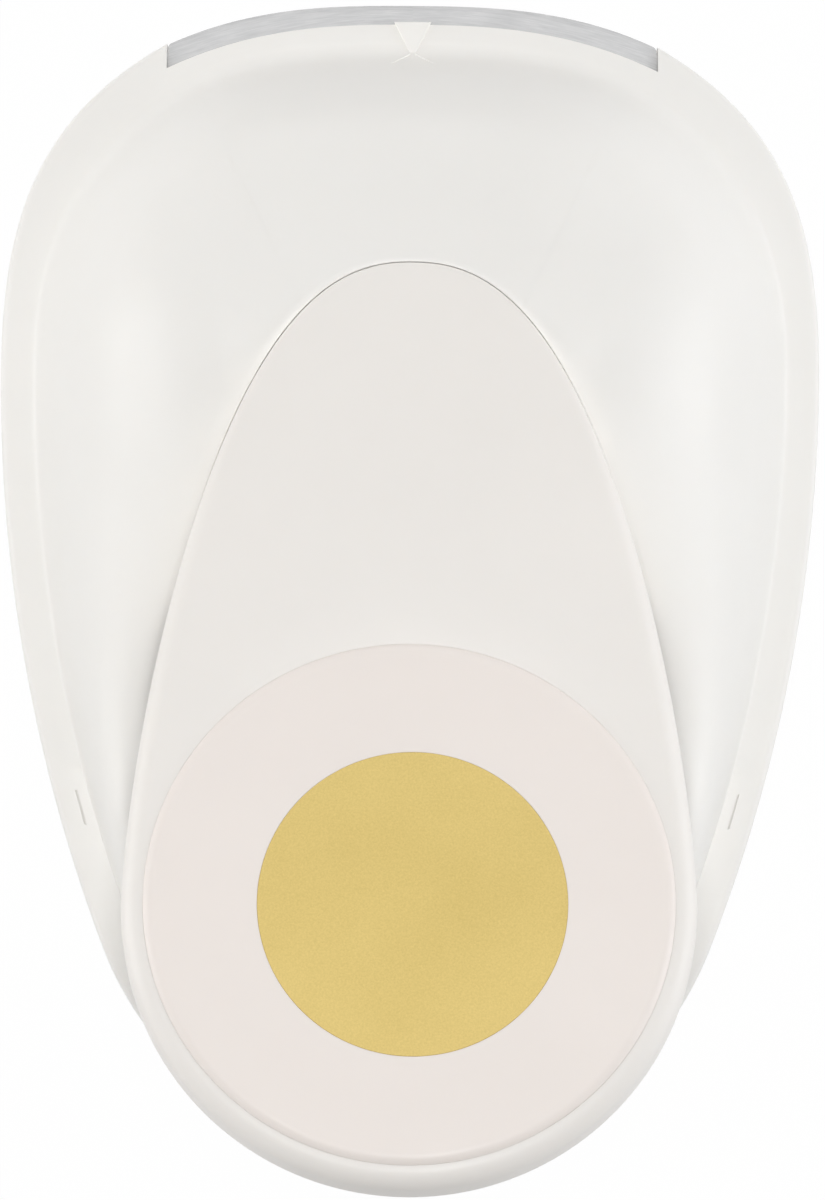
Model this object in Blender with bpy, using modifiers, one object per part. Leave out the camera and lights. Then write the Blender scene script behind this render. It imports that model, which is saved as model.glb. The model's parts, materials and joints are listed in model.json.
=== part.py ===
"""Lever paper punch that cuts a 50 mm circle, as separate pieces at rest, in metres.

The mouth that takes the paper faces -Y, the thumb pad is at +Y, +Z is up and the table is z = 0.
The lever turns about a pin in front of the cutter, and its press bar drives the cutter straight down.
"""

import math

import bmesh
import bpy
from mathutils import Matrix, Vector

# Clearances
FIT_GAP = 0.0003
CUT_OVERRUN = 0.002
BORE_GAP = 0.0003
SLIDE_GAP = 0.0003

# Plan of the body
BODY_LENGTH = 0.15005
BODY_CORNER_WIDTH = 0.02125
WIDEST_FROM_MOUTH = 0.0488
SIDE_ARC_RADIUS = 0.2069
MOUTH_SIDE_MARGIN = 0.0069
MOUTH_ARC_RADIUS = 0.0903
CORNER_START_SHARES = (0.73, 0.176)
CORNER_END_SHARE = 0.53

# Cutting set
DIE_RADIUS = 0.025
DIE_FRONT_MARGIN = 0.0125
DIE_PLATE_THICKNESS = 0.003
THROAT_GAP = 0.0016
GUIDE_PLATE_THICKNESS = 0.0025
THROAT_MARGIN = 0.0026
SPACER_LENGTH = 0.0174
GUIDE_SETBACK = 0.0011
GUIDE_WING_INSET = 0.01269
GUIDE_WING_FROM_MOUTH = 0.0155
GUIDE_NECK_FROM_MOUTH = 0.0105
PLATE_CORNER_RADIUS = 0.003
CUTTER_STROKE = 0.0046
CUTTER_HELD_LENGTH = 0.0018
CUTTER_LIFT = 0.0003
CUTTER_RIM = 0.0032
CUTTER_WEB = 0.003

# Base
BASE_HEIGHT = 0.013
BASE_WALL = 0.0022
BASE_DECK = 0.003
BASE_EDGE = 0.0006
CHUTE_MARGIN = 0.003
CHUTE_WALL = 0.002
BOTTOM_PLATE_THICKNESS = 0.002
BOTTOM_WINDOW_MARGIN = 0.002

# Upper cover
FLANGE_THICKNESS = 0.0018
RIM_WALL = 0.0019
LIP_SETBACK = 0.0022
COVER_WALL = 0.0022
FLANGE_EDGE = 0.0007
FLANGE_FRONT_WIDTH = 0.0069
FLANGE_SIDE_WIDTH = 0.0046
SHOULDER_FRONT_INSET = 0.0215
SHOULDER_REAR_INSET = 0.007
SHOULDER_ABOVE_PIVOT = 0.014
SHELF_SHOULDER_RISE = 0.0124
CROWN_RISE = 0.008
SHELF_CROWN_RISE = 0.0012
CROWN_FROM_MOUTH = 0.0695
FLANGE_BLEND = (0.012, 0.045)
SHOULDER_BLEND = (0.0575, 0.1155)
HEIGHT_BLEND = (0.0555, 0.1015)
WALL_PROFILE_SHARES = ((0.0, 0.0), (0.05, 0.22), (0.16, 0.42), (0.38, 0.62), (0.72, 0.865), (1.0, 1.0))
CROWN_SHARES = (0.09, 0.22, 0.4, 0.62)
CENTRE_MARK_WIDTH = 0.0056
CENTRE_MARK_TIP = 0.0004
CENTRE_MARK_DEPTH = 0.0006
SNAP_SLOT_FROM_TAIL = 0.04525
SNAP_SLOT_LENGTH = 0.0045
SNAP_SLOT_WIDTH = 0.0005
SNAP_SLOT_INSET = 0.0031
SNAP_TAB_THICKNESS = 0.001

# Lever
LEVER_TILT = math.radians(15)
APEX_FROM_MOUTH = 0.035
APEX_ABOVE_PIVOT = 0.018
APEX_TO_PAD = 0.0825
LEVER_END_RADIUS = 0.0355
OGIVE_POWER_SHARES = (1.465, 0.43)
LEVER_WALL = 0.0022
LEVER_EDGE_RADIUS = 0.0017
NOSE_SKIRT = 0.0032
DEEP_SKIRT = 0.019
REAR_SKIRT = 0.007
NOSE_LENGTH = 0.008
DEEP_SKIRT_START = 0.026
DEEP_SKIRT_END = 0.062
SKIRT_STEP_LENGTH = 0.002
OPENING_GAP = 0.0007
OPENING_REAR_GAP = 0.0012

# Thumb pad
PAD_RADIUS = 0.0322
PAD_GROOVE = 0.0007
PAD_RECESS = 0.002
PAD_RISE = 0.0009
PAD_EDGE_RADIUS = 0.0008
PAD_BED = 0.0024
DISC_RADIUS = 0.0191
DISC_THICKNESS = 0.0004

# Lever's pivot and frame
LEVER_ARM_SHARE = 0.68
PIVOT_RISE = 0.0099
PIVOT_PIN_RADIUS = 0.002
EYE_RADIUS = 0.004
EAR_THICKNESS = 0.002
EAR_INSET = 0.002
BRACKET_FOOT_LENGTH = 0.0086
BRACKET_FOOT_WIDTH = 0.0075
BRACKET_FOOT_THICKNESS = 0.002
SLEEVE_WALL = 0.0009
CLIP_THICKNESS = 0.001
CLIP_RADIUS = 0.0034
PIN_END = 0.001
FRAME_HALF_WIDTH = 0.0116
FRAME_THICKNESS = 0.0016
FRAME_TOP_BELOW_LEVER = 0.0065
FRAME_SIDE_HEIGHT = 0.0086
FRAME_WEB_START = 0.026
FRAME_REAR_GAP = 0.0006
PRESS_BAR_RADIUS = 0.0035
PRESS_BAR_END_RADIUS = 0.002
PRESS_BAR_END = 0.0008

# Cutter carrier, guide posts and springs
CARRIER_PLATE = 0.003
CARRIER_STEP = 0.0025
CARRIER_WING_RISE = 0.0054
CARRIER_SIDE_CLEARANCE = 0.0024
RISER_LENGTH = 0.0096
RISER_SIDE_CLEARANCE = 0.0015
PRESS_HEIGHT_ABOVE_PIVOT = 0.0075
POST_OFFSET = 0.0055
POST_SPACING_SHARE = 0.56
POST_RADIUS = 0.00175
POST_HEAD_RADIUS = 0.003
POST_HEAD_HEIGHT = 0.002
LUG_MARGIN = 0.0033
SPRING_WIRE_RADIUS = 0.0004
SPRING_RUNNING_GAP = 0.0006
SPRING_CURLS = 4
SPRING_POINTS_PER_CURL = 9

# Screws: shank radius, head radius, head height
STACK_SCREW = (0.00185, 0.0031, 0.002)
SMALL_SCREW = (0.00105, 0.0018, 0.0013)
HOUSING_SCREW = (0.0015, 0.0027, 0.002)
SCREW_SOCKET_SHARE = 0.5
STACK_SCREW_EDGE = 0.0049
STACK_SCREW_SHARES = (0.37, 1.0)
STACK_SCREW_TIP_GAP = 0.0017
DIE_SCREW_INSET = (0.0039, 0.0115)
DIE_SCREW_LENGTH = 0.0078
BRACKET_SCREW_SPACING = 0.0044
BRACKET_SCREW_LENGTH = 0.0038
CUTTER_SCREW_INSET = 0.0024
CUTTER_SCREW_LENGTH = 0.0052
COVER_SCREW_BEHIND_DIE = 0.02
COVER_SCREW_EDGE = 0.0037
COVER_SCREW_LENGTH = 0.0105
HOUSING_SCREW_LENGTH = 0.019
HOUSING_SCREW_SEAT = 0.006
SIDE_SCREW_INSET = 0.0102
TAIL_SCREW_FROM_TAIL = 0.0105
BOTTOM_SCREW_LENGTH = 0.0065
BOTTOM_SCREW_FRONT_INSET = 0.01121
BOTTOM_SCREW_FROM_MOUTH = 0.018
BOTTOM_SCREW_REAR_INSET = 0.01438
BOTTOM_SCREW_FROM_TAIL = 0.02505
LEVER_SCREW_LENGTH = 0.0052
LEVER_SCREW_X = 0.0055
LEVER_SCREW_PLACES = (0.034, 0.064)
BOSS_WALL = 0.0013

# Smoothness
ARC_STEPS = 5
CORNER_STEPS = 7
SMALL_STEPS = 10
HOLE_STEPS = 44
OGIVE_STEPS = 13
END_STEPS = 12

# Heights
DIE_TOP = BASE_HEIGHT
DIE_BOTTOM = DIE_TOP - DIE_PLATE_THICKNESS
GUIDE_BOTTOM = DIE_TOP + THROAT_GAP
GUIDE_TOP = GUIDE_BOTTOM + GUIDE_PLATE_THICKNESS
FLANGE_BOTTOM = GUIDE_TOP + FIT_GAP
FLANGE_HEIGHT = FLANGE_BOTTOM + FLANGE_THICKNESS
SHELF_SHOULDER_HEIGHT = FLANGE_HEIGHT + SHELF_SHOULDER_RISE
POCKET_FLOOR = DIE_BOTTOM - FIT_GAP
DECK_BOTTOM = POCKET_FLOOR - BASE_DECK
CUTTER_BOTTOM = GUIDE_BOTTOM + CUTTER_LIFT
CUTTER_HEIGHT = CUTTER_STROKE + CUTTER_HELD_LENGTH
CUTTER_TOP = CUTTER_BOTTOM + CUTTER_HEIGHT
CARRIER_BOTTOM = CUTTER_TOP + FIT_GAP
CARRIER_PLATE_TOP = CARRIER_BOTTOM + CARRIER_PLATE
WING_BOTTOM = CARRIER_BOTTOM + CARRIER_WING_RISE
WING_TOP = WING_BOTTOM + CARRIER_PLATE
PIVOT_Z = GUIDE_TOP + PIVOT_RISE
SHOULDER_HEIGHT = PIVOT_Z + SHOULDER_ABOVE_PIVOT
APEX_HEIGHT = PIVOT_Z + APEX_ABOVE_PIVOT
PRESS_BAR_Z = PIVOT_Z + PRESS_HEIGHT_ABOVE_PIVOT
RISER_TOP = PRESS_BAR_Z - PRESS_BAR_RADIUS - FIT_GAP

# Widths: the mouth's ends clear the cut circle, and the body's corners lie outside the mouth
MOUTH_HALF_WIDTH = DIE_RADIUS + MOUTH_SIDE_MARGIN
BODY_HALF_WIDTH = MOUTH_HALF_WIDTH + BODY_CORNER_WIDTH

# Lengthwise places: the origin is the middle of the whole object's plan
OVERALL_LENGTH = (
    APEX_FROM_MOUTH
    + (APEX_TO_PAD + LEVER_END_RADIUS) * math.cos(LEVER_TILT)
    + REAR_SKIRT * math.sin(LEVER_TILT)
)
MOUTH_Y = -OVERALL_LENGTH / 2
WIDEST_Y = MOUTH_Y + WIDEST_FROM_MOUTH
TAIL_Y = MOUTH_Y + BODY_LENGTH
CUTTER_Y = MOUTH_Y + DIE_FRONT_MARGIN + DIE_RADIUS
THROAT_END_Y = CUTTER_Y + DIE_RADIUS + THROAT_MARGIN
SPACER_END_Y = THROAT_END_Y + SPACER_LENGTH
APEX_Y = MOUTH_Y + APEX_FROM_MOUTH
PIVOT_Y = CUTTER_Y - DIE_RADIUS * LEVER_ARM_SHARE
CROWN_Y = MOUTH_Y + CROWN_FROM_MOUTH
CUTTER_RADIUS = DIE_RADIUS - SLIDE_GAP
PLATE_HALF_WIDTH = MOUTH_HALF_WIDTH - FIT_GAP
BRACKET_X = DIE_RADIUS - EAR_INSET
POST_X = DIE_RADIUS + POST_OFFSET
POST_SPACING = DIE_RADIUS * POST_SPACING_SHARE
CARRIER_WIDTH = POST_SPACING + 2 * LUG_MARGIN
CUTTER_SCREW_REACH = CARRIER_WIDTH / 2 - CUTTER_SCREW_INSET
POST_HOLE_RADIUS = POST_RADIUS + BORE_GAP

# Lever's own axes: u runs back from the pivot along the lever, w is square to its top
TILT_COS = math.cos(LEVER_TILT)
TILT_SIN = math.sin(LEVER_TILT)


def in_lever(y, z):
    """A point of the middle plane, given at rest, in the lever's own axes (u, w)."""
    back = y - PIVOT_Y
    up = z - PIVOT_Z
    return back * TILT_COS + up * TILT_SIN, up * TILT_COS - back * TILT_SIN


APEX_U, LEVER_TOP = in_lever(APEX_Y, APEX_HEIGHT)
BAR_U, BAR_W = in_lever(CUTTER_Y, PRESS_BAR_Z)
PAD_U = APEX_U + APEX_TO_PAD
FRAME_TOP = LEVER_TOP - FRAME_TOP_BELOW_LEVER
FRAME_BOTTOM = FRAME_TOP - FRAME_SIDE_HEIGHT
SKIRT_END_U = APEX_U + DEEP_SKIRT_END
FRAME_END_U = SKIRT_END_U - FRAME_REAR_GAP
SKIRT_SWEEP = math.hypot(SKIRT_END_U, LEVER_TOP - DEEP_SKIRT)
OPENING_REAR_Y = PIVOT_Y + SKIRT_SWEEP + SKIRT_STEP_LENGTH + OPENING_REAR_GAP


# Scene, collections and materials

def clear_scene():
    for item in list(bpy.data.objects):
        bpy.data.objects.remove(item, do_unlink=True)


def make_collection(name):
    collection = bpy.data.collections.new(name)
    bpy.context.scene.collection.children.link(collection)
    return collection


def make_material(name, colour, roughness, metallic=0.0):
    material = bpy.data.materials.new(name)
    material.use_nodes = True
    shader = material.node_tree.nodes["Principled BSDF"]
    shader.inputs["Base Color"].default_value = (*colour, 1.0)
    shader.inputs["Roughness"].default_value = roughness
    shader.inputs["Metallic"].default_value = metallic
    material.diffuse_color = (*colour, 1.0)
    return material


clear_scene()
PARTS = make_collection("circle_punch")
CUTTERS = make_collection("cutters")
CUTTERS.hide_render = True
SMOOTH_ANGLE = math.radians(35)


# Meshes

def finish_mesh(shape, name):
    """The mesh of a bmesh, smooth but for its sharp edges."""
    bmesh.ops.remove_doubles(shape, verts=shape.verts, dist=FIT_GAP / 1000)
    mesh = bpy.data.meshes.new(name)
    shape.to_mesh(mesh)
    shape.free()
    mesh.shade_smooth()
    mesh.set_sharp_from_angle(angle=SMOOTH_ANGLE)
    return mesh


def add_part(name, mesh, material, parent=None, location=(0, 0, 0)):
    part = bpy.data.objects.new(name, mesh)
    PARTS.objects.link(part)
    part.location = location
    part.parent = parent
    mesh.materials.append(material)
    return part


def add_cutter(name, mesh, parent=None):
    cutter = bpy.data.objects.new(name, mesh)
    CUTTERS.objects.link(cutter)
    cutter.hide_render = True
    cutter.display_type = "WIRE"
    cutter.parent = parent
    return cutter


def cut(part, cutter, operation="DIFFERENCE"):
    boolean = part.modifiers.new(cutter.name, "BOOLEAN")
    boolean.operation = operation
    boolean.object = cutter
    boolean.solver = "EXACT"


def loft(shape, rings, first_tip=None, last_tip=None):
    """Skin over rings of equal count, closed by flat ends or, where a tip is given, by a fan."""
    rows = [[shape.verts.new(point) for point in ring] for ring in rings]
    count = len(rows[0])
    for lower, upper in zip(rows, rows[1:]):
        for i in range(count):
            j = (i + 1) % count
            shape.faces.new((lower[i], lower[j], upper[j], upper[i]))
    for row, tip, forward in ((rows[0], first_tip, False), (rows[-1], last_tip, True)):
        if tip is None:
            shape.faces.new(row if forward else row[::-1])
            continue
        top = shape.verts.new(tip)
        for i in range(count):
            edge = (row[i], row[(i + 1) % count])
            shape.faces.new((*edge, top) if forward else (*edge[::-1], top))


def prism(shape, outline, bottom, top):
    loft(shape, [[(x, y, z) for x, y in outline] for z in (bottom, top)])


def box(shape, low, high):
    size = Vector(high) - Vector(low)
    middle = (Vector(high) + Vector(low)) / 2
    place = Matrix.Translation(middle) @ Matrix.Diagonal((*size, 1.0))
    bmesh.ops.create_cube(shape, size=1.0, matrix=place)


def rod(shape, radius, start, end, steps=SMALL_STEPS):
    """A cylinder between two points, with no corner on its own axes."""
    start = Vector(start)
    end = Vector(end)
    along = end - start
    turn = along.to_track_quat("Z", "Y").to_matrix().to_4x4() @ Matrix.Rotation(math.pi / steps, 4, "Z")
    place = Matrix.Translation((start + end) / 2) @ turn
    bmesh.ops.create_cone(
        shape, cap_ends=True, segments=steps, radius1=radius, radius2=radius, depth=along.length, matrix=place
    )


def upright(shape, radius, x, y, bottom, top, steps=SMALL_STEPS):
    rod(shape, radius, (x, y, bottom), (x, y, top), steps)


def turned(name, profile, material, location, parent=None, steps=SMALL_STEPS, rotation=(0, 0, 0)):
    """A piece turned about its own Z from a half section that runs down its outer side."""
    shape = bmesh.new()
    points = [shape.verts.new((radius, 0, height)) for radius, height in profile]
    for upper, lower in zip(points, points[1:]):
        shape.edges.new((upper, lower))
    if profile[0][0] > 0:
        shape.edges.new((points[-1], points[0]))
    mesh = bpy.data.meshes.new(name)
    shape.to_mesh(mesh)
    shape.free()
    piece = add_part(name, mesh, material, parent, location)
    piece.rotation_euler = rotation
    screw = piece.modifiers.new("turn", "SCREW")
    screw.steps = steps
    screw.render_steps = steps
    screw.use_merge_vertices = True
    screw.merge_threshold = FIT_GAP / 100
    screw.use_smooth_shade = False
    return piece


# Outlines

def ease(value, start, end):
    """0 before start, 1 after end, and a smooth change between."""
    share = min(max((value - start) / (end - start), 0.0), 1.0)
    return share * share * (3 - 2 * share)


def mix(first, second, share):
    return first + (second - first) * share


def mirrored(half):
    """A closed outline from its right half, which starts and ends on the middle plane."""
    return half + [(-x, y) for x, y in half[-2:0:-1]]


def arc(centre, radius, start, end, steps):
    angles = [mix(start, end, i / steps) for i in range(steps + 1)]
    return [(centre[0] + radius * math.cos(a), centre[1] + radius * math.sin(a)) for a in angles]


def mouth_arc(setback, half_width, steps=ARC_STEPS):
    """Half of the mouth's bowed front edge, from the middle to its right end."""
    radius = MOUTH_ARC_RADIUS - setback
    reach = math.asin(half_width / radius)
    start = -math.pi / 2
    return arc((0.0, MOUTH_Y + MOUTH_ARC_RADIUS), radius, start, start + reach, steps)


def body_half():
    """Right half of the body's plan: mouth, corner, long side and tail, each flowing into the next."""
    points = mouth_arc(0.0, MOUTH_HALF_WIDTH)
    start = Vector(points[-1])
    end = Vector((BODY_HALF_WIDTH, WIDEST_Y))
    span = end - start
    first = start + Vector((span.x * CORNER_START_SHARES[0], span.y * CORNER_START_SHARES[1]))
    second = end - Vector((0.0, span.y * CORNER_END_SHARE))
    for i in range(1, CORNER_STEPS + 1):
        t = i / CORNER_STEPS
        s = 1 - t
        point = start * s**3 + first * (3 * s * s * t) + second * (3 * s * t * t) + end * t**3
        points.append((point.x, point.y))
    reach = TAIL_Y - WIDEST_Y
    side_x = BODY_HALF_WIDTH - SIDE_ARC_RADIUS
    tail_radius = (SIDE_ARC_RADIUS**2 - side_x**2 - reach**2) / (2 * (SIDE_ARC_RADIUS - reach))
    tail_y = TAIL_Y - tail_radius
    turn = math.atan2(tail_y - WIDEST_Y, -side_x)
    points += arc((side_x, WIDEST_Y), SIDE_ARC_RADIUS, 0.0, turn, ARC_STEPS)[1:]
    points += arc((0.0, tail_y), tail_radius, turn, math.pi / 2, ARC_STEPS + 1)[1:]
    points[-1] = (0.0, TAIL_Y)
    return points


def inward(outline):
    """The unit vector that points into a closed counter-clockwise outline, at each of its points."""
    result = []
    for i in range(len(outline)):
        before = Vector(outline[i - 1])
        after = Vector(outline[(i + 1) % len(outline)])
        along = (after - before).normalized()
        result.append(Vector((-along.y, along.x)))
    return result


def shrunk(outline, amount):
    """The outline moved inward by one amount."""
    return [tuple(Vector(p) + n * amount) for p, n in zip(outline, inward(outline))]


BODY = mirrored(body_half())
BODY_INWARD = inward(BODY)


def body_half_width(y):
    """Half the body's width at a place along it, behind the mouth's corners."""
    side = [p for p in body_half() if p[0] > 0]
    for (x1, y1), (x2, y2) in zip(side, side[1:]):
        if y1 <= y <= y2:
            return mix(x1, x2, (y - y1) / (y2 - y1))
    return side[-1][0]


def lever_half_width(from_apex):
    """Half the lever's width at a distance back from its apex, in front of the pad's middle."""
    bow, fullness = OGIVE_POWER_SHARES
    share = 1 - min(from_apex / APEX_TO_PAD, 1.0)
    return LEVER_END_RADIUS * (1 - share**bow) ** fullness


def lever_half():
    """Right half of the lever's plan in its own axes, from the apex round the pad."""
    steps = [DEEP_SKIRT_END, DEEP_SKIRT_END + SKIRT_STEP_LENGTH]
    even = [APEX_TO_PAD * (1 - math.cos(math.pi / 2 * i / OGIVE_STEPS)) for i in range(1, OGIVE_STEPS + 1)]
    apart = [place for place in even if min(abs(place - step) for step in steps) > SKIRT_STEP_LENGTH]
    points = [(0.0, APEX_U)]
    for from_apex in sorted(apart + steps):
        points.append((lever_half_width(from_apex), APEX_U + from_apex))
    points += arc((0.0, PAD_U), LEVER_END_RADIUS, 0.0, math.pi / 2, END_STEPS)[1:]
    points[-1] = (0.0, PAD_U + LEVER_END_RADIUS)
    return points


def skirt_depth(u):
    """How far the lever's side wall hangs below its top: shallow at the nose, deep inside the cover."""
    back = u - APEX_U
    if back > DEEP_SKIRT_END:
        return mix(DEEP_SKIRT, REAR_SKIRT, ease(back, DEEP_SKIRT_END, DEEP_SKIRT_END + SKIRT_STEP_LENGTH))
    return mix(NOSE_SKIRT, DEEP_SKIRT, ease(back, NOSE_LENGTH, DEEP_SKIRT_START))


# Cover surface

def flange_width(y):
    from_mouth = y - MOUTH_Y
    return mix(FLANGE_FRONT_WIDTH, FLANGE_SIDE_WIDTH, ease(from_mouth, *FLANGE_BLEND))


def wall_profile(y):
    """The cover's wall at one place of the outline, from its foot to its shoulder, as (inset, height)."""
    from_mouth = y - MOUTH_Y
    foot = flange_width(y)
    shoulder = mix(SHOULDER_FRONT_INSET, SHOULDER_REAR_INSET, ease(from_mouth, *SHOULDER_BLEND))
    top = mix(SHOULDER_HEIGHT, SHELF_SHOULDER_HEIGHT, ease(from_mouth, *HEIGHT_BLEND))
    return [(mix(foot, shoulder, a), mix(FLANGE_HEIGHT, top, b)) for a, b in WALL_PROFILE_SHARES]


def crown_rise(y):
    return mix(CROWN_RISE, SHELF_CROWN_RISE, ease(y - MOUTH_Y, *HEIGHT_BLEND))


def set_back(profile, thickness):
    """The profile moved square to itself, into the wall."""
    moved = []
    for i, (inset, height) in enumerate(profile):
        before = Vector(profile[max(i - 1, 0)])
        after = Vector(profile[min(i + 1, len(profile) - 1)])
        along = (after - before).normalized()
        moved.append((inset + along.y * thickness, height - along.x * thickness))
    return moved


def cover_rings(skin):
    """Rings of the dome from its foot to its crown; skin is the depth below the outside."""
    ribs = []
    for point, normal in zip(BODY, BODY_INWARD):
        profile = set_back(wall_profile(point[1]), skin)
        rib = [Vector((*(Vector(point) + normal * inset), height)) for inset, height in profile]
        centre = Vector((0.0, CROWN_Y))
        shoulder = rib[-1].copy()
        for share in CROWN_SHARES:
            place = centre + (shoulder.xy - centre) * (1 - share)
            height = shoulder.z + crown_rise(point[1]) * (1 - (1 - share) ** 2)
            rib.append(Vector((place.x, place.y, height)))
        ribs.append(rib)
    return [[rib[k] for rib in ribs] for k in range(len(ribs[0]))]


def body_ring(amount, height):
    return [(*(Vector(p) + n * amount), height) for p, n in zip(BODY, BODY_INWARD)]


# Materials

WHITE_PLASTIC = make_material("white_plastic", (0.83, 0.81, 0.79), 0.38)
LEVER_PLASTIC = make_material("lever_plastic", (0.82, 0.79, 0.76), 0.36)
BASE_PLASTIC = make_material("base_plastic", (0.80, 0.78, 0.75), 0.42)
PLATE_STEEL = make_material("plate_steel", (0.60, 0.60, 0.60), 0.3, 1.0)
CUTTER_STEEL = make_material("cutter_steel", (0.55, 0.56, 0.57), 0.22, 1.0)
FRAME_STEEL = make_material("frame_steel", (0.48, 0.49, 0.50), 0.38, 1.0)
SCREW_STEEL = make_material("screw_steel", (0.42, 0.42, 0.43), 0.35, 1.0)
SPRING_STEEL = make_material("spring_steel", (0.5, 0.5, 0.5), 0.28, 1.0)
CARRIER_ALLOY = make_material("carrier_alloy", (0.62, 0.62, 0.62), 0.45, 1.0)
GOLD_FOIL = make_material("gold_foil", (0.70, 0.56, 0.20), 0.42)


# Screws

def pan_screw(name, kind, place, length, direction=-1, parent=None):
    """A pan-headed screw whose head rests at place and whose shank runs up (+1) or down (-1)."""
    shank, head, height = kind
    socket = height * SCREW_SOCKET_SHARE
    profile = [
        (0.0, height - socket),
        (shank * SCREW_SOCKET_SHARE, height - socket),
        (shank * SCREW_SOCKET_SHARE, height),
        (head - height / 3, height),
        (head, height - height / 3),
        (head, 0.0),
        (shank, 0.0),
        (shank, shank - length),
        (0.0, -length),
    ]
    turn = (0, 0, 0) if direction < 0 else (math.pi, 0, 0)
    return turned(name, profile, SCREW_STEEL, place, parent, rotation=turn)


def flat_screw(name, kind, place, length, direction=-1):
    """A countersunk screw whose flat head lies at place and whose shank runs up (+1) or down (-1)."""
    shank, head, height = kind
    socket = height * SCREW_SOCKET_SHARE
    profile = [
        (0.0, -socket),
        (shank * SCREW_SOCKET_SHARE, -socket),
        (shank * SCREW_SOCKET_SHARE, 0.0),
        (head, 0.0),
        (shank, -height),
        (shank, shank - length),
        (0.0, -length),
    ]
    turn = (0, 0, 0) if direction < 0 else (math.pi, 0, 0)
    return turned(name, profile, SCREW_STEEL, place, rotation=turn)


STACK_SCREW_Y = (THROAT_END_Y + SPACER_END_Y) / 2
STACK_SCREW_REACH = MOUTH_HALF_WIDTH - STACK_SCREW_EDGE
STACK_SCREWS = [
    (side * share * STACK_SCREW_REACH, STACK_SCREW_Y) for share in STACK_SCREW_SHARES for side in (-1, 1)
]
DIE_SCREW_X = MOUTH_HALF_WIDTH - DIE_SCREW_INSET[0]
DIE_SCREWS = [(side * DIE_SCREW_X, MOUTH_Y + DIE_SCREW_INSET[1]) for side in (-1, 1)]
SIDE_SCREW_Y = SPACER_END_Y
SIDE_SCREW_X = body_half_width(SIDE_SCREW_Y) - SIDE_SCREW_INSET
HOUSING_SCREWS = [
    ("left", -SIDE_SCREW_X, SIDE_SCREW_Y),
    ("right", SIDE_SCREW_X, SIDE_SCREW_Y),
    ("tail", 0.0, TAIL_Y - TAIL_SCREW_FROM_TAIL),
]
GUIDE_WING_X = body_half_width(SPACER_END_Y) - GUIDE_WING_INSET
COVER_SCREW_X = GUIDE_WING_X - COVER_SCREW_EDGE
COVER_SCREWS = [(side * COVER_SCREW_X, CUTTER_Y + COVER_SCREW_BEHIND_DIE) for side in (-1, 1)]
BOTTOM_SCREWS = [
    (side * (body_half_width(y) - inset), y)
    for y, inset in (
        (MOUTH_Y + BOTTOM_SCREW_FROM_MOUTH, BOTTOM_SCREW_FRONT_INSET),
        (TAIL_Y - BOTTOM_SCREW_FROM_TAIL, BOTTOM_SCREW_REAR_INSET),
    )
    for side in (-1, 1)
]


# Base

def shape_mesh(name, build):
    """A mesh made by a function that fills a bmesh."""
    shape = bmesh.new()
    build(shape)
    return finish_mesh(shape, name)


def cutter_from(name, build, parent=None):
    return add_cutter(name, shape_mesh(name, build), parent)


BASE_BOSS_BOTTOM = BOTTOM_PLATE_THICKNESS + FIT_GAP
SMALL_BOSS_RADIUS = SMALL_SCREW[0] + BOSS_WALL
STACK_BOSS_RADIUS = STACK_SCREW[0] + BOSS_WALL
HOUSING_BOSS_RADIUS = HOUSING_SCREW[0] + BOSS_WALL
COLUMN_RADIUS = HOUSING_SCREW[1] + BORE_GAP + BOSS_WALL
COLUMN_BORE = HOUSING_SCREW[1] + BORE_GAP
STACK_SCREW_SEAT = GUIDE_TOP + FIT_GAP
STACK_SCREW_TIP = BOTTOM_PLATE_THICKNESS + STACK_SCREW_TIP_GAP
HOLE_SPARE = 0.0006


def base_hollow(shape):
    loft(shape, [body_ring(BASE_WALL, -CUT_OVERRUN), body_ring(BASE_WALL, BASE_HEIGHT - BASE_DECK)])


def base_bed(shape):
    """The thicker deck that carries the die plate."""
    reach = MOUTH_HALF_WIDTH + BASE_WALL
    box(shape, (-reach, MOUTH_Y - CUT_OVERRUN, DECK_BOTTOM), (reach, SPACER_END_Y + BASE_WALL, BASE_HEIGHT))


def base_chute(shape):
    radius = DIE_RADIUS + CHUTE_MARGIN + CHUTE_WALL
    upright(shape, radius, 0, CUTTER_Y, BASE_BOSS_BOTTOM, BASE_HEIGHT, HOLE_STEPS)


def base_bosses(shape):
    for x, y in STACK_SCREWS:
        upright(shape, STACK_BOSS_RADIUS, x, y, BASE_BOSS_BOTTOM, BASE_HEIGHT)
    for x, y in DIE_SCREWS + BOTTOM_SCREWS:
        upright(shape, SMALL_BOSS_RADIUS, x, y, BASE_BOSS_BOTTOM, BASE_HEIGHT)
    for _, x, y in HOUSING_SCREWS:
        upright(shape, COLUMN_RADIUS, x, y, BASE_BOSS_BOTTOM, BASE_HEIGHT)


def base_pocket(shape):
    low = (-MOUTH_HALF_WIDTH, MOUTH_Y - CUT_OVERRUN, POCKET_FLOOR)
    high = (MOUTH_HALF_WIDTH, SPACER_END_Y + FIT_GAP, BASE_HEIGHT + CUT_OVERRUN)
    box(shape, low, high)


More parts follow.
